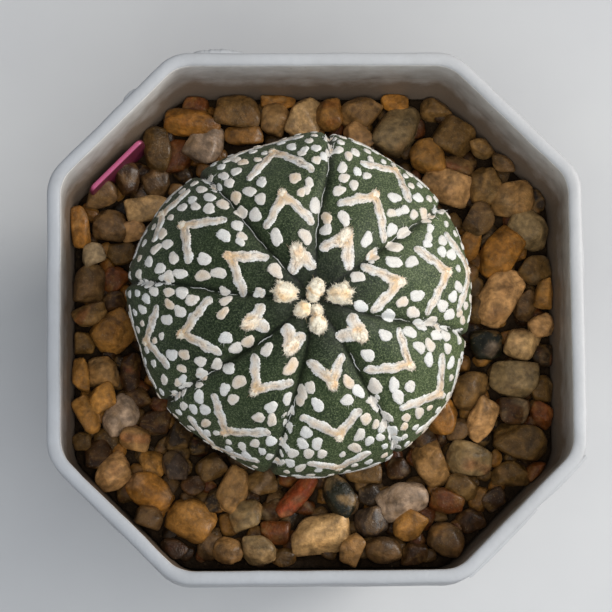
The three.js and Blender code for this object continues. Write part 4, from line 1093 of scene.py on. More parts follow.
def groove_scratch(groove, start, end, draw):
    """A thin pale line of felt that runs beside the bottom of a groove."""
    along = np.linspace(start, end, SCRATCH_STATIONS)
    aside = 0.10 * np.sin(along * 1.7 + groove) + 0.2 + 0.03 * draw.normal(size=SCRATCH_STATIONS)
    middle = groove_bearing(groove, along) + np.degrees(aside / radius_at(along))
    half = 0.06 * np.sin(np.linspace(0.1, math.pi - 0.1, SCRATCH_STATIONS))
    half = half + 0.05 * draw.uniform(0, 1, SCRATCH_STATIONS)
    sides = np.array([-1, 0, 1])
    bearing = middle[:, None] + np.degrees(half[:, None] * sides / radius_at(along)[:, None])
    points = skin(bearing, along[:, None] + 0 * bearing, np.array([-0.02, 0.07, -0.02])).reshape(-1, 3)
    tints = np.tile(FELT_WHITE * 0.8, (len(points), 1))
    return points, [ring_faces(*bearing.shape, closed=False)], tints


def groove_flecks(draw):
    """Small flecks scattered at the listed places, and hairs that stand up round them."""
    places, sizes = [], []
    roots, ways = [], []
    for groove, along, half_width, half_length in GROOVE_FLECKS:
        for _ in range(FLECKS_TO_A_PLACE):
            aside = draw.normal(0, 0.5)
            down = draw.uniform(-1, 1) * half_length
            place = moved((float(groove_bearing(groove, along)), along), aside, down)
            places.append(place)
            scale = draw.uniform(0.25, 0.55)
            sizes.append((half_width * scale, half_length * scale * 1.2))
            for _ in range(HAIRS_TO_A_FLECK):
                spot = moved(place, draw.normal(0, 0.3), draw.normal(0, 0.4))
                roots.append(skin(*spot, 0.1))
                ways.append(out_of_skin(*spot) + 0.9 * draw.normal(size=3))
    flecks = fleck_parts(places, sizes, draw)
    roots, ways = np.array(roots), np.array(ways)
    tints = np.tile(FELT_WHITE, (len(roots), 1))
    lengths = draw.uniform(0.3, 0.75, len(roots))
    bend = 0.3 * draw.normal(size=roots.shape)
    return [*flecks, make_fibres(roots, ways, lengths, GROOVE_HAIR_RADIUS, bend, tints)]


def make_groove_marks(material, draw):
    """Pale scratches and ragged flecks of felt in the grooves."""
    parts = [groove_scratch(*scratch, draw) for scratch in GROOVE_SCRATCHES]
    return mesh_of("groove_flecks", parts + groove_flecks(draw), material)


# Gravel

STONE_FACETS = 16
STONE_FLATNESS = 0.78
OTHER_COLOUR_SHARE = 0.35


def stone_template(detail):
    """Directions and triangles of a ball that each stone is shaped from."""
    shape = bmesh.new()
    bmesh.ops.create_icosphere(shape, subdivisions=detail, radius=1)
    shape.verts.ensure_lookup_table()
    directions = np.array([v.co[:] for v in shape.verts])
    faces = np.array([[v.index for v in face.verts] for face in shape.faces])
    shape.free()
    return directions / np.linalg.norm(directions, axis=1, keepdims=True), faces


def stone_reach(directions, draw):
    """How far a stone reaches by direction: a ball cut by soft facets."""
    facets = draw.normal(size=(STONE_FACETS, 3))
    facets /= np.linalg.norm(facets, axis=1, keepdims=True)
    facets = np.concatenate([facets, np.eye(3), -np.eye(3)])
    depths = np.concatenate([draw.uniform(0.84, 1.05, STONE_FACETS), np.full(6, 0.98)])
    sharpness = draw.uniform(11, 20)
    facing = np.clip(directions @ facets.T, 0, None) / depths
    return (facing**sharpness).sum(axis=1) ** (-1 / sharpness)


def stone_tints(colour, local, width, seed, draw):
    """A stone's tints: its colour, with patches of a second one and fine unevenness."""
    base = linear(STONE_COLOURS[colour])
    names = list(STONE_COLOURS)
    other = linear(STONE_COLOURS[names[int(draw.integers(0, len(names)))]])
    patch = OTHER_COLOUR_SHARE * smooth_step(0.1, 0.9, waves(local / width, 0.75, seed + 2, 6))[:, None]
    fine = waves(local, 1.1, seed + 3)[:, None]
    tints = base * (1 - patch) + other * patch
    return np.clip(tints * (1 + 0.13 * fine) * draw.uniform(0.85, 1.15), 0, 1)


def make_stone(place, top, colour, template, draw):
    """A river pebble of a place's length and width, turned as it says, with its top at a height."""
    directions, faces = template
    x, y, length, width, turn = place
    reach = stone_reach(directions, draw)
    seed = int(draw.integers(1, 1e6))
    reach *= 1 + 0.025 * waves(directions, 0.7, seed) + 0.012 * waves(directions, 0.28, seed + 1)
    local = directions * reach[:, None]
    local *= np.array([length, width, STONE_FLATNESS * width]) / 2 / np.abs(local).max(axis=0)
    tilt = Matrix.Rotation(math.radians(draw.normal(0, 6)), 3, "X")
    spin = Matrix.Rotation(math.radians(turn), 3, "Z")
    points = local @ np.array(spin @ tilt).T
    points += np.array([x, y, top - points[:, 2].max()])
    return kept_in(points), [faces], stone_tints(colour, local, width, seed, draw)


def octagon(inset, z, corner_steps=8, side_steps=10):
    """A rounded octagon at height z, inset from the rim's outer line, anticlockwise."""
    rounding = max(2, RIM_ROUNDING - inset / 2)
    corners = []
    for side in range(8):
        a, b = math.radians(side * 45), math.radians(side * 45 + 45)
        near = (RIM_CORNER if side % 2 else RIM_STRAIGHT) - inset - rounding
        far = (RIM_STRAIGHT if side % 2 else RIM_CORNER) - inset - rounding
        x = (near * math.sin(b) - far * math.sin(a)) / math.sin(b - a)
        y = (far * math.cos(a) - near * math.cos(b)) / math.sin(b - a)
        turn = a + (b - a) * np.arange(corner_steps + 1) / corner_steps
        corners.append(np.stack([x + rounding * np.cos(turn), y + rounding * np.sin(turn)], axis=-1))
    points = []
    for side in range(8):
        points.append(corners[side])
        start, end = corners[side][-1], corners[(side + 1) % 8][0]
        share = (np.arange(1, side_steps) / side_steps)[:, None]
        points.append(start + (end - start) * share)
    flat = np.concatenate(points)
    return np.column_stack([flat, np.full(len(flat), float(z))])


def outer_inset(z):
    """Inset of the wall's outer face below the collar."""
    return COLLAR_STEP + TAPER * (COLLAR_BASE - z) / COLLAR_BASE


def inner_inset(z):
    """Inset of the wall's inner face."""
    below = outer_inset(min(z, COLLAR_BASE)) + WALL
    rise = max(0, z - COLLAR_BASE) / COLLAR_HEIGHT
    return below + (LIP_WIDTH - below) * rise


def inside_pot(x, y, z, margin):
    """Whether places lie inside the wall at height z with a margin."""
    inset = inner_inset(z) + margin
    straight = np.maximum(np.abs(x), np.abs(y)) <= RIM_STRAIGHT - inset
    return straight & (np.abs(x) + np.abs(y) <= (RIM_CORNER - inset) * math.sqrt(2))


def kept_in(points):
    """Squeezes a stone's outer side where it would go through the wall."""
    middle = points.mean(axis=0)
    inset = inner_inset(points[:, 2].min() + 1) - 0.1
    for side in range(8):
        out = np.array([math.cos(side * math.pi / 4), math.sin(side * math.pi / 4)])
        limit = (RIM_CORNER if side % 2 else RIM_STRAIGHT) - inset
        reach = points[:, :2] @ out
        if reach.max() > limit:
            centre = min(middle[:2] @ out, limit - 1)
            squeeze = (limit - centre) / (reach.max() - centre)
            inward = (squeeze - 1) * np.clip(reach - centre, 0, None)
            points[:, :2] += inward[:, None] * out
    return points


def make_listed_stones(name, places, colours, top, material, draw):
    """Stones at the listed places, with their tops near the height top."""
    template = stone_template(4)
    parts = []
    for place, colour in zip(places, colours):
        height = top + draw.uniform(-0.35, 0.15)
        parts.append(make_stone(place, height, colour, template, draw))
    return mesh_of(name, parts, material)


# Small stones: the ranges of their widths and of their tops' heights, and how places are drawn.
SMALL_STONE_WIDTHS = (2.2, 3.8)
SMALL_STONE_TOPS = (62.9, 64.0)
SMALL_STONE_COLOURS = ["dark_brown", "brown", "rust", "dark", "grey_brown", "ochre", "orange", "olive"]
SMALL_STONE_TRIES = 6000
SMALL_STONE_FIELD = 41  # places are drawn this far from the pot's middle, each way
SMALL_STONE_MIDDLE = 62  # the height at which they must be clear of the wall
HIDDEN_RADIUS = 14  # no stones this near to the plant's middle, where nothing shows
DEEP_SHADE = 0.55  # painted shade: they lie deep between the listed stones, where shade falls


def small_stone_places(draw):
    """Drawn places with room between and under the listed stones."""
    listed = np.array(UPPER_PEBBLES + DEEP_PEBBLES)
    kept = []
    for _ in range(SMALL_STONE_TRIES):
        x, y = draw.uniform(-SMALL_STONE_FIELD, SMALL_STONE_FIELD, 2)
        width = draw.uniform(*SMALL_STONE_WIDTHS)
        if not inside_pot(x, y, SMALL_STONE_MIDDLE, 0.5 + width / 2):
            continue
        if math.hypot(x - BODY_CENTRE.x, y - BODY_CENTRE.y) < HIDDEN_RADIUS:
            continue
        gap = np.hypot(listed[:, 0] - x, listed[:, 1] - y) - listed[:, 3] * 0.36
        if gap.min() < 0.2:
            continue
        if any(math.hypot(x - k[0], y - k[1]) < 0.48 * (width + k[3]) for k in kept):
            continue
        kept.append((x, y, width * draw.uniform(1.05, 1.4), width, draw.uniform(0, 180)))
    return kept


def make_small_stones(material, draw):
    """Small stones that fill what shows between and under the listed ones."""
    template = stone_template(3)
    parts = []
    for place in small_stone_places(draw):
        colour = SMALL_STONE_COLOURS[int(draw.integers(0, len(SMALL_STONE_COLOURS)))]
        parts.append(make_stone(place, draw.uniform(*SMALL_STONE_TOPS), colour, template, draw))
    points, faces, tints = joined(parts)
    # painted shade: the small stones' tints are darkened by DEEP_SHADE
    return make_mesh("gravel_small", points, faces, material, tints * DEEP_SHADE)


def make_bed(material):
    """The grit under the stones, a slab with an uneven top that fills the pot from wall to wall."""
    gap = 0.32
    outer_ring = octagon(inner_inset(BED_TOP) + gap, BED_TOP)
    size = len(outer_ring)
    rings = [octagon(inner_inset(GRAVEL_BASE) + gap, GRAVEL_BASE)]
    for share in np.linspace(1, 0.03, 60):
        ring = outer_ring * np.array([share, share, 1])
        ring[:, 2] += (0.35 * waves(ring, 3, 71) + 0.2 * waves(ring, 1.1, 72)) * min(1, (1 - share) * 12)
        rings.append(ring)
    points = np.concatenate([*rings, [[0, 0, GRAVEL_BASE]], [[0, 0, BED_TOP]]])
    return make_mesh("gravel_bed", points, shell_faces(len(rings), size), material)


# Pot


def pot_levels():
    """Insets and heights of the pot's outline, from the floor's underside round to its top."""
    lip = []
    half, crown = LIP_WIDTH / 2, 0.75
    for turn in np.linspace(0, math.pi, 13):
        rise = crown * abs(math.sin(turn)) ** 0.75
        lip.append((half - half * math.cos(turn), POT_HEIGHT - crown + rise))
    foot = outer_inset(0)
    levels = [
        (foot + FOOT_WIDTH + 0.1, FOOT_HEIGHT),
        (foot + FOOT_WIDTH, FOOT_HEIGHT - 0.2),
        (foot + FOOT_WIDTH, 0.2),
        (foot + FOOT_WIDTH - 0.2, 0),
        (foot + 1.0, 0),
        (foot + 0.45, 0.15),
        (foot + 0.1, 0.6),
        (outer_inset(1.2), 1.2),
    ]
    levels += [(outer_inset(z), z) for z in np.linspace(2.5, COLLAR_BASE - 0.7, 22)]
    levels += [
        (outer_inset(COLLAR_BASE) - 0.05, COLLAR_BASE - 0.25),
        (outer_inset(COLLAR_BASE) - 0.25, COLLAR_BASE - 0.03),
        (0.55, COLLAR_BASE),
        (0.34, COLLAR_BASE + 0.1),
        (0.29, COLLAR_BASE + 0.4),
    ]
    for share in (0.25, 0.5, 0.75, 1):
        levels.append((0.29 * (1 - share), COLLAR_BASE + 0.4 + share * (COLLAR_HEIGHT - 1.3)))
    levels += lip
    levels += [(inner_inset(z), z) for z in (79, 78.4, 77, 75, 73, 71.2, 70.5, 69.8)]
    levels += [(inner_inset(z), z) for z in np.linspace(68, FLOOR + 0.8, 16)]
    levels += [(inner_inset(FLOOR) + 0.3, FLOOR + 0.2), (inner_inset(FLOOR) + 1, FLOOR)]
    return levels


def make_pot(material):
    """The pot's shell, slightly uneven, with its drain holes."""
    levels = pot_levels()
    rings = [octagon(inset, z, 10, 16) for inset, z in levels]
    size = len(rings[0])
    points = np.concatenate([*rings, [[0, 0, FOOT_HEIGHT]], [[0, 0, FLOOR]]])
    bumps = 0.05 * waves(points, 9, 51) + 0.03 * waves(points, 2.2, 52)
    outward = points[:, :2] / np.maximum(np.linalg.norm(points[:, :2], axis=1, keepdims=True), 1)
    clear = smooth_step(4, 12, points[:, 2])
    points[:, :2] += outward * (bumps * clear)[:, None]
    pot = make_mesh("pot_shell", points, shell_faces(len(rings), size), material)
    cut_drains(pot, material)
    return pot


def cut_drains(pot, material):
    """Cuts the round drain holes through the pot's floor."""
    sides = 24
    rim = np.arange(sides) * 2 * math.pi / sides
    circle = DRAIN_RADIUS * np.column_stack([np.cos(rim), np.sin(rim)])
    below, above = -2.0, 8.0
    for number in range(DRAIN_COUNT):
        turn = math.radians(45 + number * 360 / DRAIN_COUNT)
        flat = circle + DRAIN_CIRCLE * np.array([math.cos(turn), math.sin(turn)])
        tube = np.concatenate([np.column_stack([flat, np.full(sides, z)]) for z in (below, above)])
        caps = [[list(range(sides - 1, -1, -1))], [list(range(sides, 2 * sides))]]
        cutter = make_mesh("drain_cut", tube, [ring_faces(2, sides), *caps], material)
        cut = pot.modifiers.new("drain", "BOOLEAN")
        cut.operation = "DIFFERENCE"
        cut.solver = "EXACT"
        cut.object = cutter
        shown = pot.evaluated_get(bpy.context.evaluated_depsgraph_get())
        whole = bpy.data.meshes.new_from_object(shown)
        pot.modifiers.clear()
        pot.data = whole
        bpy.data.objects.remove(cutter)


# Slivers of moulding flash on the rim: both ends on its outer edge, and how far each stands out.
FLASH_RUNS = [
    ((-20, 44), (-11.5, 44), 0.75),
    ((36.2, -31.2), (43.9, -23.6), 0.4),
    ((24.5, -43.2), (35.6, -32.2), 0.25),
    ((-31.5, 36), (-29.5, 38), 0.4),
    ((43.95, 6), (43.95, 12), 0.2),
]
FLASH_HEIGHT = 79.35


def make_flash(material, draw):
    """The slivers of flash, each a thin blade that is ragged along its edge."""
    parts = []
    stations = 40
    for start, end, reach in FLASH_RUNS:
        share = np.linspace(0, 1, stations)
        line = np.array(start) + (np.array(end) - np.array(start)) * share[:, None]
        way = np.array(end, float) - np.array(start, float)
        side = np.array([way[1], -way[0]]) / np.linalg.norm(way)
        side = side if side @ line.mean(axis=0) > 0 else -side
        out = reach * np.sin(math.pi * share) ** 0.6 * draw.uniform(0.75, 1, stations)
        rows = []
        for inset, lift in ((-0.5, 0.12), (1, 0.05), (1, -0.05), (-0.5, -0.12)):
            offset = (out if inset > 0 else np.full(stations, -0.5))[:, None] * side
            rows.append(np.column_stack([line + offset, np.full(stations, FLASH_HEIGHT + lift)]))
        grid = np.stack(rows, axis=1).reshape(-1, 3)
        parts.append((grid, [ring_faces(stations, 4)], np.zeros((len(grid), 3))))
    points, faces, _ = joined(parts)
    return make_mesh("pot_flash", points, faces, material)


# Label

LABEL_EDGE = 0.28  # rounding of its edges
LABEL_BOW = 0.125  # how far its long sides bend out of its plane


def label_outline():
    """The plate's outline from its pointed end round its top's rounded corners, the top edge at 0."""
    half, half_tip = LABEL_WIDTH / 2, LABEL_TIP_WIDTH / 2
    outline = [
        (-half, -LABEL_LENGTH + LABEL_POINT),
        (-half_tip, -LABEL_LENGTH),
        (half_tip, -LABEL_LENGTH),
        (half, -LABEL_LENGTH + LABEL_POINT),
    ]
    for side, start in ((1, 0), (-1, 90)):
        for turn in np.radians(np.linspace(start, start + 90, 7)):
            x = side * (half - LABEL_CORNER) + LABEL_CORNER * math.cos(turn)
            outline.append((x, LABEL_CORNER * (math.sin(turn) - 1)))
    return np.array(outline)


def make_label(material):
    """The plate, with softened edges, leaning on the pot's corner side."""
    flat = label_outline()
    size = len(flat)
    half = LABEL_WIDTH / 2
    middle = np.array([0, -LABEL_LENGTH / 2])
    levels = []
    for step in (-3, -2, -1, 0, 1, 2, 3):
        turn = math.pi / 6 * step
        inward = LABEL_EDGE * (1 - math.cos(turn))
        shrunk = middle + (flat - middle) * (1 - inward / np.array([half, LABEL_LENGTH / 2]))
        depth = (LABEL_THICKNESS / 2 - LABEL_EDGE) * np.sign(step) + LABEL_EDGE * math.sin(turn)
        levels.append(np.column_stack([shrunk, np.full(size, depth)]))
    ends = [[0, middle[1], side * LABEL_THICKNESS / 2] for side in (-1, 1)]
    points = np.concatenate([*levels, ends])
    points[:, 2] += LABEL_BOW * ((points[:, 0] / half) ** 2 - 0.3)
    upright = Matrix.Rotation(math.radians(90 - LABEL_SLOPE), 3, "X")
    facing = Matrix.Rotation(math.radians(LABEL_BEARING - 90), 3, "Z")
    points = points @ np.array(facing @ upright).T + np.array(LABEL_TOP)
    return make_mesh("plant_label", points, shell_faces(len(levels), size), material)


# Materials


class Look:
    """A material under construction, with short ways to add and join its nodes."""

    def __init__(self, name, **constants):
        self.material = bpy.data.materials.new(name)
        self.material.use_nodes = True
        self.tree = self.material.node_tree
        self.shader = self.tree.nodes["Principled BSDF"]
        for socket, value in constants.items():
            self.shader.inputs[socket.replace("_", " ")].default_value = value
        self.place = self.add("ShaderNodeTexCoord").outputs["Object"]

    def add(self, kind, inputs=None, **settings):
        """A node with its settings, and its inputs set to values or joined to other nodes."""
        node = self.tree.nodes.new(kind)
        for key, value in settings.items():
            setattr(node, key, value)
        for key, value in (inputs or {}).items():
            if isinstance(value, bpy.types.NodeSocket):
                self.tree.links.new(value, node.inputs[key])
            else:
                node.inputs[key].default_value = value
        return node

    def noise(self, size, detail=3, roughness=0.55, distortion=0.0):
        """Noise with features about size millimetres across."""
        scale = 1 / (size * MM)
        inputs = {"Vector": self.place, "Scale": scale, "Detail": detail}
        inputs |= {"Roughness": roughness, "Distortion": distortion}
        return self.add("ShaderNodeTexNoise", inputs).outputs["Fac"]

    def cells(self, size):
        """Distances to the nearest of scattered points about size millimetres apart."""
        inputs = {"Vector": self.place, "Scale": 1 / (size * MM)}
        return self.add("ShaderNodeTexVoronoi", inputs, feature="F1").outputs["Distance"]

    def spread(self, value, low, high, to_low=0.0, to_high=1.0):
        """Maps the values from low to high onto those from to_low to to_high."""
        inputs = {"Value": value, "From Min": low, "From Max": high, "To Min": to_low, "To Max": to_high}
        return self.add("ShaderNodeMapRange", inputs).outputs["Result"]

    def mix(self, share, first, second, blend="MIX"):
        """The first colour, with a share of the second mixed in or multiplied."""
        inputs = {0: share}
        for key, value in ((6, first), (7, second)):
            inputs[key] = value if isinstance(value, bpy.types.NodeSocket) else (*value, 1)
        return self.add("ShaderNodeMix", inputs, data_type="RGBA", blend_type=blend).outputs[2]

    def math(self, operation, first, second):
        """The result of an operation on two values."""
        return self.add("ShaderNodeMath", {0: first, 1: second}, operation=operation).outputs[0]

    def tint(self):
        """The colours that the mesh carries at its points."""
        return self.add("ShaderNodeVertexColor", layer_name="tint").outputs["Color"]

    def shaded(self, colour, value):
        """A colour, lighter or darker by a value."""
        grey = self.add("ShaderNodeCombineColor", {"Red": value, "Green": value, "Blue": value})
        return self.mix(1.0, colour, grey.outputs[0], "MULTIPLY")

    def height(self):
        """Height over the ground in millimetres."""
        z = self.add("ShaderNodeSeparateXYZ", {"Vector": self.place}).outputs["Z"]
        return self.math("DIVIDE", z, MM)

    def finish(self, colour, roughness=None, bump=None, depth=0.1):
        """Sets the colour, the roughness and a bump of depth millimetres."""
        self.tree.links.new(colour, self.shader.inputs["Base Color"])
        if roughness is not None:
            self.tree.links.new(roughness, self.shader.inputs["Roughness"])
        if bump is not None:
            node = self.add("ShaderNodeBump", {"Height": bump, "Distance": depth * MM, "Strength": 1.0})
            self.tree.links.new(node.outputs["Normal"], self.shader.inputs["Normal"])
        return self.material


def skin_look():
    """Dark green skin, with pale speckles and pores."""
    look = Look("cactus_skin", Specular_IOR_Level=0.38, Sheen_Weight=0.02, Sheen_Roughness=0.5)
    broad = look.spread(look.noise(6, 3), 0.35, 0.65)
    colour = look.mix(broad, (0.0094, 0.0180, 0.0062), (0.0182, 0.0302, 0.0100))
    speckle = look.spread(look.noise(0.28, 4, 0.8), 0.50, 0.59)
    colour = look.mix(look.math("MULTIPLY", speckle, 0.72), colour, (0.110, 0.138, 0.070))
    pores = look.spread(look.cells(0.38), 0.24, 0.08)
    colour = look.mix(look.math("MULTIPLY", pores, 0.55), colour, (0.26, 0.29, 0.18))
    colour = look.mix(1.0, colour, look.tint(), "MULTIPLY")
    bump = look.math("ADD", look.noise(0.25, 4, 0.65), look.math("MULTIPLY", look.noise(1.2, 2), 1.5))
    return look.finish(colour, look.spread(look.noise(0.8), 0.3, 0.7, 0.50, 0.68), bump, 0.10)


def root_look():
    """Rough brown bark."""
    look = Look("cactus_root", Specular_IOR_Level=0.2)
    colour = look.mix(look.noise(1.5, 5), (0.10, 0.06, 0.03), (0.30, 0.20, 0.11))
    return look.finish(colour, look.spread(look.noise(0.7), 0, 1, 0.75, 0.95), look.noise(0.6, 5), 0.3)


def felt_look(name, grain, light):
    """Felt or wool in the colours that its mesh carries, with fluff of a grain in millimetres, made brighter
    by the factor light, which for the wool is painted light.
    """
    look = Look(name, Roughness=0.9, Specular_IOR_Level=0.15, Sheen_Weight=0.25, Sheen_Roughness=0.6)
    fluff = look.noise(grain, 4, 0.7, 0.6)
    colour = look.shaded(look.tint(), look.spread(fluff, 0.28, 0.72, 0.74 * light, 1.12 * light))
    tan = look.spread(look.noise(1.3, 3), 0.55, 0.8, 0.0, 0.25)
    colour = look.mix(tan, colour, (0.62, 0.45, 0.29))
    return look.finish(colour, None, fluff, 0.22)


def stone_look():
    """Damp stone in the colours that its mesh carries, with blotches, rust, specks and pale grains."""
    look = Look("river_gravel", Specular_IOR_Level=0.45, Coat_Weight=0.3, Coat_Roughness=0.24)
    broad = look.spread(look.noise(2.6, 4, 0.55, 0.8), 0.30, 0.70, 0.45, 1.55)
    colour = look.shaded(look.tint(), broad)
    blotch = look.spread(look.noise(1.0, 2, 0.5, 0.5), 0.36, 0.64, 0.78, 1.24)
    colour = look.shaded(colour, blotch)
    rust = look.spread(look.noise(3.1, 4, 0.6, 1.5), 0.52, 0.70, 0, 0.45)
    colour = look.mix(rust, colour, (0.20, 0.105, 0.03))
    specks = look.spread(look.noise(0.28, 3, 0.7), 0.60, 0.74, 0, 0.4)
    colour = look.mix(specks, colour, (0.05, 0.032, 0.02))
    grains = look.spread(look.cells(0.55), 0.22, 0.08, 0, 0.24)
    colour = look.mix(grains, colour, (0.34, 0.25, 0.14))
    bump = look.math("ADD", look.noise(0.35, 4, 0.6), look.math("MULTIPLY", look.noise(1.4, 3), 1.6))
    return look.finish(colour, look.spread(look.noise(1.1, 4), 0.3, 0.7, 0.31, 0.60), bump, 0.12)


def grit_and_painted_shade_look(name):
    """Dark grit with paler crumbs, made nearly black as painted shade for the gaps between the stones."""
    look = Look(name, Specular_IOR_Level=0.2)
    broad = look.spread(look.noise(1.2, 6, 0.7), 0.3, 0.7)
    colour = look.mix(broad, (0.007, 0.0045, 0.0025), (0.032, 0.019, 0.010))
    crumbs = look.spread(look.cells(1.4), 0.2, 0.05, 0, 0.6)
    colour = look.mix(crumbs, colour, (0.07, 0.045, 0.025))
    return look.finish(colour, look.spread(look.noise(0.9), 0, 1, 0.8, 1.0), look.noise(1.0, 6, 0.7), 0.8)


def pot_look():
    """Grey-white plastic with painted light on one side and on the inside of its wall, and inside painted
    shade, brown as a painted reflection of the gravel, that fades towards the rim.
    """
    look = Look("pot_plastic", Specular_IOR_Level=0.4)
    smudge = look.spread(look.noise(11, 5, 0.6, 0.7), 0.3, 0.75)
    colour = look.mix(smudge, (0.395, 0.408, 0.432), (0.345, 0.352, 0.366))
    # painted light: the side towards the key lamp, +X and a little +Y, is lighter
    along = look.add("ShaderNodeVectorMath", {0: look.place, 1: (1, 0.45, 0)}, operation="DOT_PRODUCT")
    painted_light_side = look.spread(along.outputs["Value"], -0.045, 0.045, 0, 0.9)
    colour = look.mix(painted_light_side, colour, look.mix(smudge, (0.475, 0.475, 0.48), (0.42, 0.418, 0.42)))
    fine = look.spread(look.noise(0.5, 4, 0.7), 0.56, 0.75, 0, 0.25)
    colour = look.mix(fine, colour, (0.36, 0.35, 0.34))
    inside = inner_mask(look)
    # painted light: the inside of the wall is paler, standing in for light that reaches it
    colour = look.mix(inside, colour, (0.78, 0.765, 0.74))
    # painted shade on the inner wall, streaked and darker towards the gravel, brown as a painted reflection
    # of the gravel
    streaks = look.math("MULTIPLY", look.noise(3.5, 5), 9.0)
    ragged = look.math("ADD", look.height(), streaks)
    painted_wall_shade = look.math("MULTIPLY", look.spread(ragged, 85.5, 72, 0.0, 0.92), inside)
    colour = look.mix(painted_wall_shade, colour, (0.125, 0.075, 0.038))
    specks = look.spread(look.cells(2.6), 0.07, 0.03, 0, 0.6)
    colour = look.mix(look.math("MULTIPLY", specks, inside), colour, (0.10, 0.07, 0.05))
    rough = look.spread(look.noise(2.2, 5, 0.65), 0.25, 0.75, 0.36, 0.58)
    bump = look.math("ADD", look.noise(0.6, 4, 0.6), look.math("MULTIPLY", look.noise(4, 3), 2.0))
    return look.finish(colour, rough, bump, 0.05)


def inner_mask(look):
    """1 on the inside of the pot's wall and 0 on its outside, from the way the surface faces."""
    geometry = look.add("ShaderNodeNewGeometry").outputs["Normal"]
    flat = look.add("ShaderNodeVectorMath", {0: look.place, 1: geometry}, operation="DOT_PRODUCT")
    return look.spread(flat.outputs["Value"], 0.0, -0.004)


def label_look():
    """Pink plastic, with painted shade below its top edge and on its steep faces."""
    look = Look("label_plastic", Specular_IOR_Level=0.5, Subsurface_Weight=0.1, Subsurface_Scale=0.001)
    smudge = look.spread(look.noise(4, 4), 0.3, 0.7)
    colour = look.mix(smudge, (0.40, 0.075, 0.16), (0.46, 0.10, 0.20))
    height = look.height()
    edge = look.spread(height, 67.6, 68.2, 0, 0.5)
    colour = look.mix(edge, colour, (0.39, 0.10, 0.195))
    # painted shade: dark below the top edge, along a ragged line
    ragged = look.math("ADD", height, look.math("MULTIPLY", look.noise(1.5, 5), 0.5))
    painted_low_shade = look.spread(ragged, 68.35, 68.0, 0, 0.9)
    colour = look.mix(painted_low_shade, colour, (0.085, 0.012, 0.025))
    # painted shade on the faces that do not look up
    normal = look.add("ShaderNodeNewGeometry").outputs["Normal"]
    steep = look.add("ShaderNodeSeparateXYZ", {"Vector": normal}).outputs["Z"]
    colour = look.mix(look.spread(steep, 0.75, 0.55, 0, 0.85), colour, (0.10, 0.014, 0.03))
    rough = look.spread(look.noise(1.4, 4), 0.3, 0.7, 0.32, 0.5)
    return look.finish(colour, rough, look.noise(0.5, 4), 0.03)


def floor_look():
    """Pale grey, faintly uneven."""
    look = Look("floor", Specular_IOR_Level=0.2)
    colour = look.mix(look.spread(look.noise(60, 4), 0.3, 0.7), (0.50, 0.50, 0.51), (0.56, 0.56, 0.56))
    return look.finish(colour, look.spread(look.noise(3, 3), 0, 1, 0.7, 0.85))


# Put it together

skin_material = skin_look()
felt_material = felt_look("cactus_felt", 0.16, 1.0)
# painted light: the wool is made 1.08 times as bright, against the shade among its fibres
wool_material = felt_look("plant_wool", 0.30, 1.08)
stone_material = stone_look()
pot_material = pot_look()

dress(make_skin(skin_material), "cactus")
dress(make_root(root_look()), "cactus")
dress(make_chevrons(felt_material, np.random.default_rng(5)), "cactus")
dress(make_flecks(felt_material, np.random.default_rng(11)), "cactus")
dress(make_areole_wool(wool_material, np.random.default_rng(6)), "cactus")
dress(make_groove_marks(felt_material, np.random.default_rng(7)), "cactus")
dress(make_crown_wool(wool_material, np.random.default_rng(8)), "crown_wool")

stone_draw = np.random.default_rng(23)
upper_stones = make_listed_stones(
    "gravel_upper", UPPER_PEBBLES, UPPER_COLOURS, PEBBLE_TOP, stone_material, stone_draw
)
deep_stones = make_listed_stones(
    "gravel_deep", DEEP_PEBBLES, DEEP_COLOURS, DEEP_PEBBLE_TOP, stone_material, stone_draw
)
dress(upper_stones, "gravel")
dress(deep_stones, "gravel")
dress(make_small_stones(stone_material, stone_draw), "gravel")
# the bed's near-black colour is painted shade in the gaps between the stones
dress(make_bed(grit_and_painted_shade_look("grit")), "gravel")

dress(make_pot(pot_material), "pot")
dress(make_flash(pot_material, np.random.default_rng(9)), "pot")
dress(make_label(label_look()), "label")

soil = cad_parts["soil"]
soil.data.materials.clear()
soil.data.materials.append(grit_and_painted_shade_look("potting_mix"))

# Floor, light and camera


def make_floor():
    """A wide pale floor under the pot, for the renders only."""
    half = 2000.0
    points = np.array([[-half, -half, 0], [half, -half, 0], [half, half, 0], [-half, half, 0]])
    made = make_mesh("floor", points, [np.array([[0, 1, 2, 3]])], floor_look())


def aim(thing, target):
    """Turns a lamp to face a point."""
    way = Vector(target) - thing.location
    thing.rotation_euler = way.to_track_quat("-Z", "Y").to_euler()


WARM_LIGHT = (1, 0.97, 0.92)
COOL_LIGHT = (0.95, 0.98, 1)
SKY_COLOUR = (0.80, 0.88, 1.0, 1)
SKY_STRENGTH = 0.19
LIGHT_TARGET = (0, 0, 0.08)


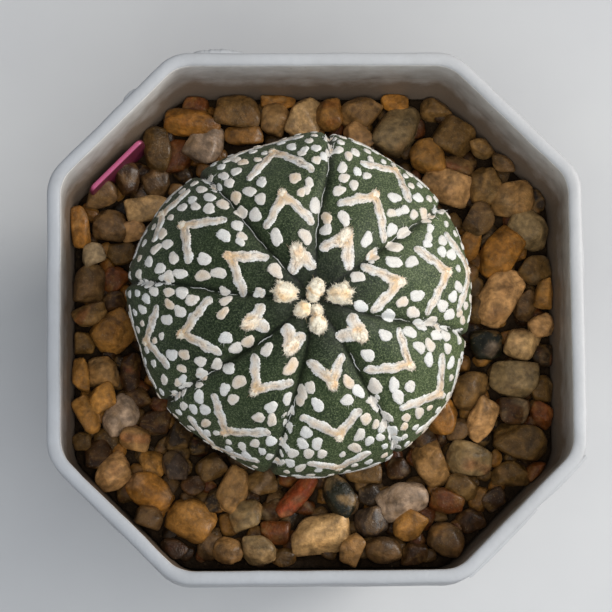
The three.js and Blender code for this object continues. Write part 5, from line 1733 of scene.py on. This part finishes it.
def add_light(name, place, size, power, colour):
    """A rectangular lamp; place and size in metres, power in watts."""
    light = bpy.data.lights.new(name, "AREA")
    light.shape = "RECTANGLE"
    light.size, light.size_y = size
    light.energy = power
    light.color = colour
    made = bpy.data.objects.new(name, light)
    made.location = place
    bpy.context.scene.collection.objects.link(made)
    aim(made, LIGHT_TARGET)
    return made


make_floor()
add_light("key", (0.50, 0.22, 0.43), (0.30, 0.30), 2.3, WARM_LIGHT)
overhead = add_light("overhead", (0.06, -0.26, 0.90), (0.7, 0.7), 7.1, COOL_LIGHT)
overhead.visible_glossy = False
add_light("side", (0.60, 0.10, 0.27), (0.35, 0.20), 1.5, WARM_LIGHT)

world = bpy.data.worlds.new("studio")
bpy.context.scene.world = world
world.use_nodes = True
sky = world.node_tree.nodes["Background"]
sky.inputs["Color"].default_value = SKY_COLOUR
sky.inputs["Strength"].default_value = SKY_STRENGTH
bpy.context.scene.view_settings.view_transform = "Standard"

DISTANCE = 560
TARGET = Vector((-1.70, 1.44, 80))
CAMERA_AZIMUTH = math.radians(12)
CAMERA_ELEVATION = math.radians(80.5)
CAMERA_ROLL = math.radians(-0.6)
FOCAL_PIXELS = 3426
IMAGE_PIXELS = 612
SENSOR_WIDTH = 36


def add_camera():
    """The photograph's camera, DISTANCE millimetres from its target."""
    level = math.cos(CAMERA_ELEVATION)
    x, y = -math.sin(CAMERA_AZIMUTH) * level, -math.cos(CAMERA_AZIMUTH) * level
    back = Vector((x, y, math.sin(CAMERA_ELEVATION)))
    right = (-back).cross(Vector((0, 1, 0))).normalized()
    up = right.cross(-back)
    turned_right = right * math.cos(CAMERA_ROLL) + up * math.sin(CAMERA_ROLL)
    turned_up = up * math.cos(CAMERA_ROLL) - right * math.sin(CAMERA_ROLL)
    lens = bpy.data.cameras.new("camera")
    lens.sensor_width = SENSOR_WIDTH
    lens.lens = SENSOR_WIDTH * FOCAL_PIXELS / IMAGE_PIXELS
    lens.clip_start = 0.05
    made = bpy.data.objects.new("camera", lens)
    place = (TARGET + DISTANCE * back) * MM
    rows = [(turned_right[i], turned_up[i], back[i], place[i]) for i in range(3)]
    made.matrix_world = Matrix([*rows, (0, 0, 0, 1)])
    bpy.context.scene.collection.objects.link(made)
    bpy.context.scene.camera = made


add_camera()
